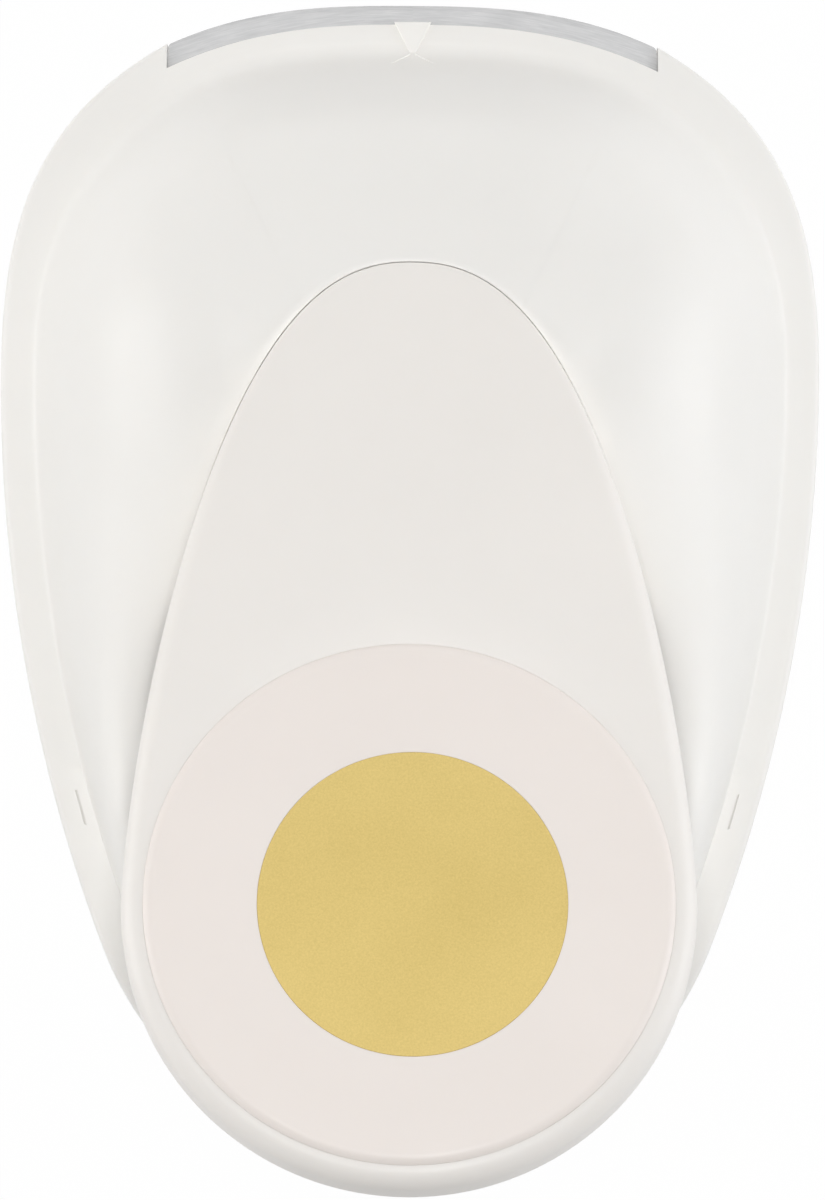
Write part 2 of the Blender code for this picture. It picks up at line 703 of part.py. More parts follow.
def base_holes(shape):
    radius = DIE_RADIUS + CHUTE_MARGIN
    upright(shape, radius, 0, CUTTER_Y, -CUT_OVERRUN, BASE_HEIGHT + CUT_OVERRUN, HOLE_STEPS)
    for x, y in STACK_SCREWS:
        upright(shape, STACK_SCREW[0] + BORE_GAP, x, y, STACK_SCREW_TIP - HOLE_SPARE, BASE_HEIGHT)
    for x, y in DIE_SCREWS:
        bottom = DIE_TOP - DIE_SCREW_LENGTH - HOLE_SPARE
        upright(shape, SMALL_SCREW[0] + BORE_GAP, x, y, bottom, BASE_HEIGHT)
    for x, y in BOTTOM_SCREWS:
        upright(shape, SMALL_SCREW[0] + BORE_GAP, x, y, 0, BOTTOM_SCREW_LENGTH + HOLE_SPARE)
    for _, x, y in HOUSING_SCREWS:
        upright(shape, HOUSING_SCREW[0] + BORE_GAP, x, y, BASE_WALL, BASE_HEIGHT + CUT_OVERRUN)


def base_counterbores(shape):
    for _, x, y in HOUSING_SCREWS:
        upright(shape, COLUMN_BORE, x, y, -CUT_OVERRUN, HOUSING_SCREW_SEAT - FIT_GAP)


def along_body(low_inset, high_inset, bottom, top, side):
    """A short block that follows the body's long side at the snap hooks."""
    middle = TAIL_Y - SNAP_SLOT_FROM_TAIL

    def build(shape):
        ends = [middle - SNAP_SLOT_LENGTH / 2, middle + SNAP_SLOT_LENGTH / 2]
        outer = [(body_half_width(y) - low_inset, y) for y in ends]
        inner = [(body_half_width(y) - high_inset, y) for y in reversed(ends)]
        outline = outer + inner
        if side < 0:
            outline = [(-x, y) for x, y in reversed(outline)]
        prism(shape, outline, bottom, top)

    return build


def make_base():
    def outside(shape):
        loft(shape, [body_ring(BASE_EDGE, 0), body_ring(0, BASE_EDGE), body_ring(0, BASE_HEIGHT)])

    base = add_part("base_housing", shape_mesh("base_housing", outside), BASE_PLASTIC)
    hollow = cutter_from("base_hollow", base_hollow)
    for name, build in (("base_bed", base_bed), ("base_chute", base_chute), ("base_bosses", base_bosses)):
        cut(hollow, cutter_from(name, build))
    cut(base, hollow)
    for name, build in (
        ("base_pocket", base_pocket),
        ("base_holes", base_holes),
        ("base_counterbores", base_counterbores),
    ):
        cut(base, cutter_from(name, build))
    low = RIM_WALL + FIT_GAP
    root = BASE_HEIGHT - CUT_OVERRUN
    for name, side in (("left", -1), ("right", 1)):
        tab = along_body(low, low + SNAP_TAB_THICKNESS, root, FLANGE_BOTTOM - FIT_GAP, side)
        cut(base, cutter_from(f"snap_tab_{name}", tab), "UNION")


def make_bottom_plate():
    inset = BASE_WALL + FIT_GAP

    def plate(shape):
        loft(shape, [body_ring(inset, 0), body_ring(inset, BOTTOM_PLATE_THICKNESS)])

    def holes(shape):
        radius = DIE_RADIUS + BOTTOM_WINDOW_MARGIN
        top = BOTTOM_PLATE_THICKNESS + CUT_OVERRUN
        upright(shape, radius, 0, CUTTER_Y, -CUT_OVERRUN, top, HOLE_STEPS)
        for _, x, y in HOUSING_SCREWS:
            upright(shape, COLUMN_BORE, x, y, -CUT_OVERRUN, top)

        for x, y in BOTTOM_SCREWS:
            upright(shape, SMALL_SCREW[0] + BORE_GAP, x, y, -CUT_OVERRUN, top)

    bottom = add_part("bottom_plate", shape_mesh("bottom_plate", plate), BASE_PLASTIC)
    cut(bottom, cutter_from("bottom_holes", holes))
    cut(bottom, cutter_from("bottom_sinks", lambda shape: sink_cones(shape, BOTTOM_SCREWS, FIT_GAP, 1)))


def sink_cones(shape, places, height, direction):
    """Cones that seat countersunk heads lying just inside a face, with room round them."""
    shank, head, depth = SMALL_SCREW
    wide = head + BORE_GAP + CUT_OVERRUN
    narrow = shank + BORE_GAP
    tall = wide - narrow
    for x, y in places:
        seat = height + direction * depth
        start = seat - direction * tall
        middle = (start + seat) / 2
        turn = Vector((0, 0, direction)).to_track_quat("Z", "Y").to_matrix().to_4x4()
        bmesh.ops.create_cone(
            shape,
            cap_ends=True,
            segments=SMALL_STEPS,
            radius1=wide,
            radius2=narrow,
            depth=tall,
            matrix=Matrix.Translation((x, y, middle)) @ turn,
        )


# Cutting set

def rear_half(half_width, end):
    """The back of a plate's right half: its round corner and its straight rear edge."""
    radius = PLATE_CORNER_RADIUS
    corner = arc((half_width - radius, end - radius), radius, 0, math.pi / 2, 3)
    return [*corner, (0.0, end)]


def make_die_plate():
    outline = mirrored(mouth_arc(0.0, PLATE_HALF_WIDTH) + rear_half(PLATE_HALF_WIDTH, SPACER_END_Y))

    def holes(shape):
        upright(shape, DIE_RADIUS, 0, CUTTER_Y, DIE_BOTTOM - CUT_OVERRUN, DIE_TOP + CUT_OVERRUN, HOLE_STEPS)
        for x, y in STACK_SCREWS:
            upright(shape, STACK_SCREW[0] + BORE_GAP, x, y, DIE_BOTTOM - CUT_OVERRUN, DIE_TOP + CUT_OVERRUN)
        for x, y in DIE_SCREWS:
            upright(shape, SMALL_SCREW[0] + BORE_GAP, x, y, DIE_BOTTOM - CUT_OVERRUN, DIE_TOP + CUT_OVERRUN)

    mesh = shape_mesh("die_plate", lambda shape: prism(shape, outline, DIE_BOTTOM, DIE_TOP))
    die = add_part("die_plate", mesh, PLATE_STEEL)
    cut(die, cutter_from("die_holes", holes))
    cut(die, cutter_from("die_sinks", lambda shape: sink_cones(shape, DIE_SCREWS, DIE_TOP - FIT_GAP, -1)))


def make_spacer():
    low = (-PLATE_HALF_WIDTH, THROAT_END_Y, DIE_TOP + FIT_GAP)
    high = (PLATE_HALF_WIDTH, SPACER_END_Y, GUIDE_BOTTOM - FIT_GAP)

    def holes(shape):
        for x, y in STACK_SCREWS:
            upright(shape, STACK_SCREW[0] + BORE_GAP, x, y, DIE_TOP - CUT_OVERRUN, GUIDE_BOTTOM + CUT_OVERRUN)

    mesh = shape_mesh("throat_spacer", lambda shape: box(shape, low, high))
    spacer = add_part("throat_spacer", mesh, PLATE_STEEL)
    cut(spacer, cutter_from("spacer_holes", holes))


POSTS = [
    (f"{end}_{side_name}", side * POST_X, CUTTER_Y + way * POST_SPACING / 2)
    for end, way in (("front", -1), ("rear", 1))
    for side_name, side in (("left", -1), ("right", 1))
]
BRACKET_SCREW_X = BRACKET_X + BRACKET_FOOT_WIDTH * 2 / 3
BRACKET_SCREWS = [
    (f"{side_name}_{end}", side * BRACKET_SCREW_X, PIVOT_Y + way * BRACKET_SCREW_SPACING / 2)
    for side_name, side in (("left", -1), ("right", 1))
    for end, way in (("front", -1), ("rear", 1))
]


def make_guide_plate():
    half = mouth_arc(GUIDE_SETBACK, PLATE_HALF_WIDTH)
    half.append((PLATE_HALF_WIDTH, MOUTH_Y + GUIDE_NECK_FROM_MOUTH))
    half.append((GUIDE_WING_X, MOUTH_Y + GUIDE_WING_FROM_MOUTH))
    half += rear_half(GUIDE_WING_X, SPACER_END_Y)
    low = GUIDE_BOTTOM - CUT_OVERRUN
    high = GUIDE_TOP + CUT_OVERRUN

    def holes(shape):
        upright(shape, DIE_RADIUS, 0, CUTTER_Y, low, high, HOLE_STEPS)
        for x, y in STACK_SCREWS:
            upright(shape, STACK_SCREW[0] + BORE_GAP, x, y, low, high)
        for _, x, y in POSTS:
            upright(shape, POST_HOLE_RADIUS, x, y, low, high)
        for _, x, y in BRACKET_SCREWS:
            upright(shape, SMALL_SCREW[0] + BORE_GAP, x, y, low, high)
        for x, y in COVER_SCREWS:
            upright(shape, SMALL_SCREW[0] + BORE_GAP, x, y, low, high)

    mesh = shape_mesh("guide_plate", lambda shape: prism(shape, mirrored(half), GUIDE_BOTTOM, GUIDE_TOP))
    guide = add_part("guide_plate", mesh, PLATE_STEEL)
    cut(guide, cutter_from("guide_holes", holes))
    seat = GUIDE_BOTTOM + FIT_GAP
    cut(guide, cutter_from("guide_sinks", lambda shape: sink_cones(shape, COVER_SCREWS, seat, 1)))


def make_cutter():
    web = CUTTER_HEIGHT - CUTTER_WEB
    profile = [
        (0.0, CUTTER_HEIGHT),
        (CUTTER_RADIUS, CUTTER_HEIGHT),
        (CUTTER_RADIUS, 0.0),
        (CUTTER_RADIUS - CUTTER_RIM, 0.0),
        (CUTTER_RADIUS - CUTTER_RIM, web),
        (0.0, web),
    ]
    place = (0, CUTTER_Y, CUTTER_BOTTOM)
    cutter = turned("cutter", profile, CUTTER_STEEL, place, steps=HOLE_STEPS)

    def holes(shape):
        for way in (-1, 1):
            y = CUTTER_Y + way * CUTTER_SCREW_REACH
            upright(shape, SMALL_SCREW[0] + BORE_GAP, 0, y, CUTTER_BOTTOM, CUTTER_TOP + CUT_OVERRUN)

    cut(cutter, cutter_from("cutter_holes", holes))


def make_carrier():
    """The block that joins the cutter to the posts; its middle rises to meet the lever's press bar."""
    step = FRAME_HALF_WIDTH + CARRIER_SIDE_CLEARANCE
    tip = POST_X + LUG_MARGIN
    upper = [(step, CARRIER_PLATE_TOP), (step, WING_TOP), (tip, WING_TOP)]
    lower = [(tip, WING_BOTTOM), (step + CARRIER_STEP, WING_BOTTOM), (step + CARRIER_STEP, CARRIER_BOTTOM)]
    right = upper + lower
    outline = [(-x, z) for x, z in right] + right[::-1]
    half = CARRIER_WIDTH / 2

    def block(shape):
        loft(shape, [[(x, y, z) for x, z in outline[::-1]] for y in (CUTTER_Y + half, CUTTER_Y - half)][::-1])
        bmesh.ops.recalc_face_normals(shape, faces=shape.faces)

    def riser(shape):
        reach = FRAME_HALF_WIDTH - FRAME_THICKNESS - RISER_SIDE_CLEARANCE
        low = (-reach, CUTTER_Y - RISER_LENGTH / 2, CARRIER_BOTTOM + CARRIER_PLATE / 2)
        box(shape, low, (reach, CUTTER_Y + RISER_LENGTH / 2, RISER_TOP))

    def holes(shape):
        for _, x, y in POSTS:
            upright(shape, POST_HOLE_RADIUS, x, y, WING_BOTTOM - CUT_OVERRUN, WING_TOP + CUT_OVERRUN)
        for way in (-1, 1):
            y = CUTTER_Y + way * CUTTER_SCREW_REACH
            upright(shape, SMALL_SCREW[0] + BORE_GAP, 0, y, CARRIER_BOTTOM - CUT_OVERRUN, WING_TOP)

    carrier = add_part("cutter_carrier", shape_mesh("cutter_carrier", block), CARRIER_ALLOY)
    cut(carrier, cutter_from("carrier_riser", riser), "UNION")
    cut(carrier, cutter_from("carrier_holes", holes))


def make_posts():
    top = WING_TOP + FIT_GAP + POST_HEAD_HEIGHT
    profile = [
        (0.0, top),
        (POST_HEAD_RADIUS - POST_HEAD_HEIGHT / 4, top),
        (POST_HEAD_RADIUS, top - POST_HEAD_HEIGHT / 4),
        (POST_HEAD_RADIUS, WING_TOP + FIT_GAP),
        (POST_RADIUS, WING_TOP + FIT_GAP),
        (POST_RADIUS, GUIDE_BOTTOM + FIT_GAP),
        (0.0, GUIDE_BOTTOM + FIT_GAP),
    ]
    for name, x, y in POSTS:
        turned(f"guide_post_{name}", profile, CUTTER_STEEL, (x, y, 0))


def spring_points(bottom, top, radius):
    """One wire wound round Z, whose ends run straight for one wire diameter."""
    count = SPRING_CURLS * SPRING_POINTS_PER_CURL
    low = bottom + SPRING_WIRE_RADIUS
    high = top - SPRING_WIRE_RADIUS
    points = []
    for i in range(count + 1):
        turn = 2 * math.pi * i / SPRING_POINTS_PER_CURL
        points.append(Vector((radius * math.cos(turn), radius * math.sin(turn), mix(low, high, i / count))))
    run = 2 * SPRING_WIRE_RADIUS
    first = points[0] + Vector((0, -run, 0))
    last = points[-1] + Vector((0, run, 0))
    return [first, *points, last]


def least_self_gap(points):
    """The least gap of a wound wire to itself, between stretches a third of a curl apart or more."""
    apart = SPRING_POINTS_PER_CURL // 3
    gaps = [(a - b).length for i, a in enumerate(points) for b in points[i + 2 * apart:]]
    return min(gaps) - 2 * SPRING_WIRE_RADIUS


def make_springs():
    radius = POST_RADIUS + SPRING_RUNNING_GAP + SPRING_WIRE_RADIUS
    points = spring_points(GUIDE_TOP + FIT_GAP, WING_BOTTOM - FIT_GAP, radius)
    print(f"return spring, least gap of the wire to itself: {least_self_gap(points) * 1000:.2f} mm")
    for name, x, y in POSTS:
        curve = bpy.data.curves.new(f"return_spring_{name}", "CURVE")
        curve.dimensions = "3D"
        curve.bevel_depth = SPRING_WIRE_RADIUS
        curve.bevel_resolution = 1
        curve.use_fill_caps = True
        spline = curve.splines.new("POLY")
        spline.points.add(len(points) - 1)
        for target, point in zip(spline.points, points):
            target.co = (*point, 1)
        curve.materials.append(SPRING_STEEL)
        spring = bpy.data.objects.new(curve.name, curve)
        PARTS.objects.link(spring)
        spring.location = (x, y, 0)


# Pivot

def make_brackets():
    bottom = GUIDE_TOP + FIT_GAP
    front = PIVOT_Y - BRACKET_FOOT_LENGTH / 2
    rear = PIVOT_Y + BRACKET_FOOT_LENGTH / 2
    ear = [(front, bottom), (rear, bottom), *arc((PIVOT_Y, PIVOT_Z), EYE_RADIUS, 0.0, math.pi, ARC_STEPS + 2)]
    for name, side in (("left", -1), ("right", 1)):
        inner = side * BRACKET_X
        outer = side * (BRACKET_X + EAR_THICKNESS)
        tip = side * (BRACKET_X + BRACKET_FOOT_WIDTH)
        faces = sorted((inner, outer))

        def plate(shape):
            loft(shape, [[(x, y, z) for y, z in ear] for x in faces])

        def foot(shape):
            ends = sorted((mix(inner, outer, SCREW_SOCKET_SHARE), tip))
            box(shape, (ends[0], front, bottom), (ends[1], rear, bottom + BRACKET_FOOT_THICKNESS))

        def holes(shape):
            spread = side * CUT_OVERRUN
            start = (inner - spread, PIVOT_Y, PIVOT_Z)
            rod(shape, PIVOT_PIN_RADIUS + BORE_GAP, start, (outer + spread, PIVOT_Y, PIVOT_Z))
            for screw_name, x, y in BRACKET_SCREWS:
                if screw_name.startswith(name):
                    top = bottom + BRACKET_FOOT_THICKNESS + CUT_OVERRUN
                    upright(shape, SMALL_SCREW[0] + BORE_GAP, x, y, bottom - CUT_OVERRUN, top)

        bracket = add_part(f"pivot_bracket_{name}", shape_mesh(f"pivot_bracket_{name}", plate), FRAME_STEEL)
        cut(bracket, cutter_from(f"bracket_foot_{name}", foot), "UNION")
        cut(bracket, cutter_from(f"bracket_holes_{name}", holes))


def make_pin():
    clip_inner = BRACKET_X + EAR_THICKNESS + FIT_GAP
    reach = clip_inner + CLIP_THICKNESS + PIN_END
    across = (0, math.pi / 2, 0)
    place = (0, PIVOT_Y, PIVOT_Z)
    chamfer = PIN_END / 3
    profile = [
        (0.0, reach),
        (PIVOT_PIN_RADIUS - chamfer, reach),
        (PIVOT_PIN_RADIUS, reach - chamfer),
        (PIVOT_PIN_RADIUS, chamfer - reach),
        (PIVOT_PIN_RADIUS - chamfer, -reach),
        (0.0, -reach),
    ]
    turned("pivot_pin", profile, SCREW_STEEL, place, rotation=across)
    bore = PIVOT_PIN_RADIUS + BORE_GAP
    clip = [(bore, CLIP_THICKNESS), (CLIP_RADIUS, CLIP_THICKNESS), (CLIP_RADIUS, 0.0), (bore, 0.0)]
    sleeve_start = FRAME_HALF_WIDTH + FIT_GAP
    sleeve_length = BRACKET_X - FIT_GAP - sleeve_start
    wide = bore + SLEEVE_WALL
    sleeve = [(bore, sleeve_length), (wide, sleeve_length), (wide, 0.0), (bore, 0.0)]
    for name, side in (("left", -1), ("right", 1)):
        turn = (0, side * math.pi / 2, 0)
        clip_place = (side * clip_inner, PIVOT_Y, PIVOT_Z)
        turned(f"pin_clip_{name}", clip, SPRING_STEEL, clip_place, rotation=turn)
        sleeve_place = (side * sleeve_start, PIVOT_Y, PIVOT_Z)
        turned(f"pivot_sleeve_{name}", sleeve, SCREW_STEEL, sleeve_place, rotation=turn)


# Lever, built in its own axes under an empty on the pivot

def make_lever_axes():
    axes = bpy.data.objects.new("lever_axes", None)
    PARTS.objects.link(axes)
    axes.location = (0, PIVOT_Y, PIVOT_Z)
    axes.rotation_euler = (LEVER_TILT, 0, 0)
    return axes


def make_lever_shell(axes):
    outline = mirrored(lever_half())
    inner = shrunk(outline, LEVER_WALL)
    bottoms = [LEVER_TOP - skirt_depth(u) for _, u in outline]
    rings = [
        [(x, u, LEVER_TOP - LEVER_WALL) for x, u in inner],
        [(x, u, w) for (x, u), w in zip(inner, bottoms)],
        [(x, u, w) for (x, u), w in zip(outline, bottoms)],
    ]
    for step in range(4):
        turn = math.pi / 2 * step / 3
        inset = LEVER_EDGE_RADIUS * (1 - math.cos(turn))
        height = LEVER_TOP - LEVER_EDGE_RADIUS * (1 - math.sin(turn))
        rings.append([(x, u, height) for x, u in shrunk(outline, inset)])

    def bed(shape):
        radius = LEVER_END_RADIUS - LEVER_WALL / 2
        low = LEVER_TOP - PAD_RECESS - PAD_BED
        upright(shape, radius, 0, PAD_U, low, LEVER_TOP - LEVER_WALL / 2, HOLE_STEPS)

    def bosses(shape):
        for _, x, u in LEVER_SCREWS:
            upright(shape, SMALL_BOSS_RADIUS, x, u, FRAME_TOP + FIT_GAP, LEVER_TOP - LEVER_WALL / 2)

    def holes(shape):
        recess = PAD_RADIUS + PAD_GROOVE
        upright(shape, recess, 0, PAD_U, LEVER_TOP - PAD_RECESS, LEVER_TOP + CUT_OVERRUN, HOLE_STEPS)
        top = LEVER_SCREW_SEAT + LEVER_SCREW_LENGTH + HOLE_SPARE
        for _, x, u in LEVER_SCREWS:
            upright(shape, SMALL_SCREW[0] + BORE_GAP, x, u, FRAME_TOP, top)

    mesh = shape_mesh("lever_shell", lambda shape: loft(shape, rings))
    shell = add_part("lever_shell", mesh, LEVER_PLASTIC, axes)
    cut(shell, cutter_from("pad_bed", bed, axes), "UNION")
    cut(shell, cutter_from("lever_bosses", bosses, axes), "UNION")
    cut(shell, cutter_from("lever_holes", holes, axes))


LEVER_SCREW_SEAT = FRAME_TOP - FRAME_THICKNESS - FIT_GAP
LEVER_SCREWS = [
    (f"{end}_{side_name}", side * LEVER_SCREW_X, place)
    for end, place in zip(("front", "rear"), LEVER_SCREW_PLACES)
    for side_name, side in (("left", -1), ("right", 1))
]


def make_lever_frame(axes):
    """A folded steel channel: two side plates from the pivot, and a web screwed under the shell."""
    eye = arc((0.0, 0.0), EYE_RADIUS, math.pi / 2, math.pi * 3 / 2, ARC_STEPS + 2)
    outline = [(BAR_U * 2 / 3, FRAME_BOTTOM), (FRAME_END_U, FRAME_BOTTOM), (FRAME_END_U, FRAME_TOP)]
    outline += [(BAR_U, FRAME_TOP), *eye]
    inside = FRAME_HALF_WIDTH - FRAME_THICKNESS
    front = -EYE_RADIUS - CUT_OVERRUN

    def block(shape):
        loft(shape, [[(x, u, w) for u, w in outline] for x in (-FRAME_HALF_WIDTH, FRAME_HALF_WIDTH)])

    def channel(shape):
        low = (-inside, front, -EYE_RADIUS - CUT_OVERRUN)
        box(shape, low, (inside, FRAME_END_U + CUT_OVERRUN, FRAME_TOP - FRAME_THICKNESS))

    def gap(shape):
        box(shape, (-inside, front, 0), (inside, FRAME_WEB_START, FRAME_TOP + CUT_OVERRUN))

    def holes(shape):
        reach = FRAME_HALF_WIDTH + CUT_OVERRUN
        rod(shape, PIVOT_PIN_RADIUS + BORE_GAP, (-reach, 0, 0), (reach, 0, 0))
        rod(shape, PRESS_BAR_END_RADIUS + BORE_GAP, (-reach, BAR_U, BAR_W), (reach, BAR_U, BAR_W))
        for _, x, u in LEVER_SCREWS:
            upright(shape, SMALL_SCREW[0] + BORE_GAP, x, u, FRAME_TOP - LEVER_WALL, FRAME_TOP + CUT_OVERRUN)

    frame = add_part("lever_frame", shape_mesh("lever_frame", block), FRAME_STEEL, axes)
    for name, build in (("frame_channel", channel), ("frame_gap", gap), ("frame_holes", holes)):
        cut(frame, cutter_from(name, build, axes))


def make_press_bar(axes):
    wide = FRAME_HALF_WIDTH - FRAME_THICKNESS - FIT_GAP
    reach = FRAME_HALF_WIDTH + PRESS_BAR_END
    profile = [
        (0.0, reach),
        (PRESS_BAR_END_RADIUS, reach),
        (PRESS_BAR_END_RADIUS, wide),
        (PRESS_BAR_RADIUS, wide),
        (PRESS_BAR_RADIUS, -wide),
        (PRESS_BAR_END_RADIUS, -wide),
        (PRESS_BAR_END_RADIUS, -reach),
        (0.0, -reach),
    ]
    turned("press_bar", profile, CUTTER_STEEL, (0, BAR_U, BAR_W), axes, rotation=(0, math.pi / 2, 0))


def make_pad(axes):
    top = PAD_RECESS + PAD_RISE - FIT_GAP
    round_down = PAD_EDGE_RADIUS * (1 - math.cos(math.pi / 4))
    seat = DISC_THICKNESS + FIT_GAP
    profile = [
        (0.0, top - seat),
        (DISC_RADIUS + BORE_GAP, top - seat),
        (DISC_RADIUS + BORE_GAP, top),
        (PAD_RADIUS - PAD_EDGE_RADIUS, top),
        (PAD_RADIUS - round_down, top - round_down),
        (PAD_RADIUS, top - PAD_EDGE_RADIUS),
        (PAD_RADIUS, 0.0),
        (0.0, 0.0),
    ]
    bottom = LEVER_TOP - PAD_RECESS + FIT_GAP
    turned("pad_cap", profile, LEVER_PLASTIC, (0, PAD_U, bottom), axes, steps=HOLE_STEPS)
    disc = [(0.0, DISC_THICKNESS), (DISC_RADIUS, DISC_THICKNESS), (DISC_RADIUS, 0.0), (0.0, 0.0)]
    place = (0, PAD_U, bottom + top - DISC_THICKNESS)
    turned("size_disc", disc, GOLD_FOIL, place, axes, steps=HOLE_STEPS)


# Upper cover

COVER_BOTTOM = BASE_HEIGHT + FIT_GAP


def make_cover():
    rings = cover_rings(0.0)
    tip_height = (rings[-1][0].z + SHELF_SHOULDER_HEIGHT) / 2
    tip = Vector((0.0, CROWN_Y, tip_height))
    outer = [
        body_ring(0, COVER_BOTTOM),
        body_ring(0, FLANGE_HEIGHT - FLANGE_EDGE),
        body_ring(FLANGE_EDGE, FLANGE_HEIGHT),
        *rings,
    ]
    below = cover_rings(COVER_WALL)
    inner = [
        body_ring(RIM_WALL, COVER_BOTTOM - CUT_OVERRUN),
        body_ring(RIM_WALL, FLANGE_BOTTOM),
        [Vector((point.x, point.y, FLANGE_BOTTOM)) for point in below[0]],
        *below[1:],
    ]
    tip_below = tip - Vector((0, 0, COVER_WALL))
    cover_top = SHOULDER_HEIGHT + CROWN_RISE + CUT_OVERRUN

    def outside(shape):
        loft(shape, outer, last_tip=tip)

    def cavity(shape):
        loft(shape, inner, last_tip=tip_below)

    def bosses(shape):
        for x, y in COVER_SCREWS:
            upright(shape, HOUSING_BOSS_RADIUS, x, y, FLANGE_BOTTOM, cover_top)
        for _, x, y in HOUSING_SCREWS:
            upright(shape, HOUSING_BOSS_RADIUS, x, y, BASE_HEIGHT - CUT_OVERRUN / 2, cover_top)

    def throat(shape):
        wide = BODY_HALF_WIDTH + CUT_OVERRUN
        low = (-wide, MOUTH_Y - CUT_OVERRUN, COVER_BOTTOM - CUT_OVERRUN)
        box(shape, low, (wide, THROAT_END_Y, GUIDE_BOTTOM))

    def mouth(shape):
        edge = mouth_arc(LIP_SETBACK, MOUTH_HALF_WIDTH)
        lip = edge[::-1] + [(-x, y) for x, y in edge[1:]]
        front = MOUTH_Y - CUT_OVERRUN
        outline = lip + [(-MOUTH_HALF_WIDTH, front), (MOUTH_HALF_WIDTH, front)]
        prism(shape, outline, COVER_BOTTOM - 2 * CUT_OVERRUN, FLANGE_HEIGHT + CUT_OVERRUN)

    def opening(shape):
        reach = (OPENING_REAR_Y - OPENING_GAP - APEX_Y) / TILT_COS
        half = [(0.0, APEX_Y)]
        for i in range(1, OGIVE_STEPS + 1):
            from_apex = reach * (1 - math.cos(math.pi / 2 * i / OGIVE_STEPS))
            half.append((lever_half_width(from_apex), APEX_Y + from_apex * TILT_COS))
        half.append((0.0, half[-1][1]))
        prism(shape, shrunk(mirrored(half), -OPENING_GAP), FLANGE_HEIGHT, cover_top)

    def mark(shape):
        front = MOUTH_Y + LIP_SETBACK
        rear = MOUTH_Y + FLANGE_FRONT_WIDTH - CENTRE_MARK_DEPTH
        wide = CENTRE_MARK_WIDTH / 2
        tip = CENTRE_MARK_TIP / 2
        outline = [(-wide, front - CUT_OVERRUN), (wide, front - CUT_OVERRUN), (tip, rear), (-tip, rear)]
        prism(shape, outline, FLANGE_HEIGHT - CENTRE_MARK_DEPTH, FLANGE_HEIGHT + CUT_OVERRUN)

    def holes(shape):
        for x, y in COVER_SCREWS:
            top = GUIDE_BOTTOM + COVER_SCREW_LENGTH + HOLE_SPARE
            upright(shape, SMALL_SCREW[0] + BORE_GAP, x, y, GUIDE_TOP, top)
        for _, x, y in HOUSING_SCREWS:
            top = HOUSING_SCREW_SEAT + HOUSING_SCREW_LENGTH + HOLE_SPARE
            upright(shape, HOUSING_SCREW[0] + BORE_GAP, x, y, COVER_BOTTOM - CUT_OVERRUN, top)

    cover = add_part("upper_cover", shape_mesh("upper_cover", outside), WHITE_PLASTIC)
    hollow = cutter_from("cover_cavity", cavity)
    cut(hollow, cutter_from("cover_bosses", bosses))
    cut(cover, hollow)
    for name, build in (
        ("throat", throat),
        ("lever_opening", opening),
        ("centre_mark", mark),
        ("mouth", mouth),
        ("cover_holes", holes),
    ):
        cut(cover, cutter_from(name, build))
    low = SNAP_SLOT_INSET - SNAP_SLOT_WIDTH / 2
    for name, side in (("left", -1), ("right", 1)):
        top = FLANGE_HEIGHT + CUT_OVERRUN
        slot = along_body(low, low + SNAP_SLOT_WIDTH, FLANGE_BOTTOM - CUT_OVERRUN, top, side)
        cut(cover, cutter_from(f"snap_slot_{name}", slot))


# Fasteners

def make_screws(axes):
    sides = ("left", "right")
    for i, (x, y) in enumerate(STACK_SCREWS):
        reach = "inner" if i < 2 else "outer"
        length = STACK_SCREW_SEAT - STACK_SCREW_TIP
        pan_screw(f"stack_screw_{reach}_{sides[i % 2]}", STACK_SCREW, (x, y, STACK_SCREW_SEAT), length)
    for side, (x, y) in zip(sides, DIE_SCREWS):
        flat_screw(f"die_screw_{side}", SMALL_SCREW, (x, y, DIE_TOP - FIT_GAP), DIE_SCREW_LENGTH)
    for name, x, y in BRACKET_SCREWS:
        seat = GUIDE_TOP + FIT_GAP + BRACKET_FOOT_THICKNESS + FIT_GAP
        pan_screw(f"bracket_screw_{name}", SMALL_SCREW, (x, y, seat), BRACKET_SCREW_LENGTH)
    for name, way in (("front", -1), ("rear", 1)):
        place = (0, CUTTER_Y + way * CUTTER_SCREW_REACH, CARRIER_PLATE_TOP + FIT_GAP)
        pan_screw(f"cutter_screw_{name}", SMALL_SCREW, place, CUTTER_SCREW_LENGTH)
    for side, (x, y) in zip(sides, COVER_SCREWS):
        place = (x, y, GUIDE_BOTTOM + FIT_GAP)
        flat_screw(f"cover_screw_{side}", SMALL_SCREW, place, COVER_SCREW_LENGTH, 1)
    for name, x, y in HOUSING_SCREWS:
        place = (x, y, HOUSING_SCREW_SEAT - 2 * FIT_GAP)
        pan_screw(f"housing_screw_{name}", HOUSING_SCREW, place, HOUSING_SCREW_LENGTH, 1)
    for i, (x, y) in enumerate(BOTTOM_SCREWS):
        end = "front" if i < 2 else "rear"
        place = (x, y, FIT_GAP)
        flat_screw(f"bottom_screw_{end}_{sides[i % 2]}", SMALL_SCREW, place, BOTTOM_SCREW_LENGTH, 1)
    for name, x, u in LEVER_SCREWS:
        place = (x, u, LEVER_SCREW_SEAT)
        pan_screw(f"lever_screw_{name}", SMALL_SCREW, place, LEVER_SCREW_LENGTH, 1, axes)


def main():
    make_base()
    make_bottom_plate()
    make_die_plate()
    make_spacer()
    make_guide_plate()
    make_cutter()
    make_carrier()
    make_posts()
    make_springs()
    make_brackets()
    make_pin()
    axes = make_lever_axes()
    make_lever_shell(axes)
    make_lever_frame(axes)
    make_press_bar(axes)
    make_pad(axes)
    make_cover()
    make_screws(axes)


main()
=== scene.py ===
import json
import math

import bmesh
import bpy
from mathutils import Matrix, Vector
from mathutils.geometry import interpolate_bezier

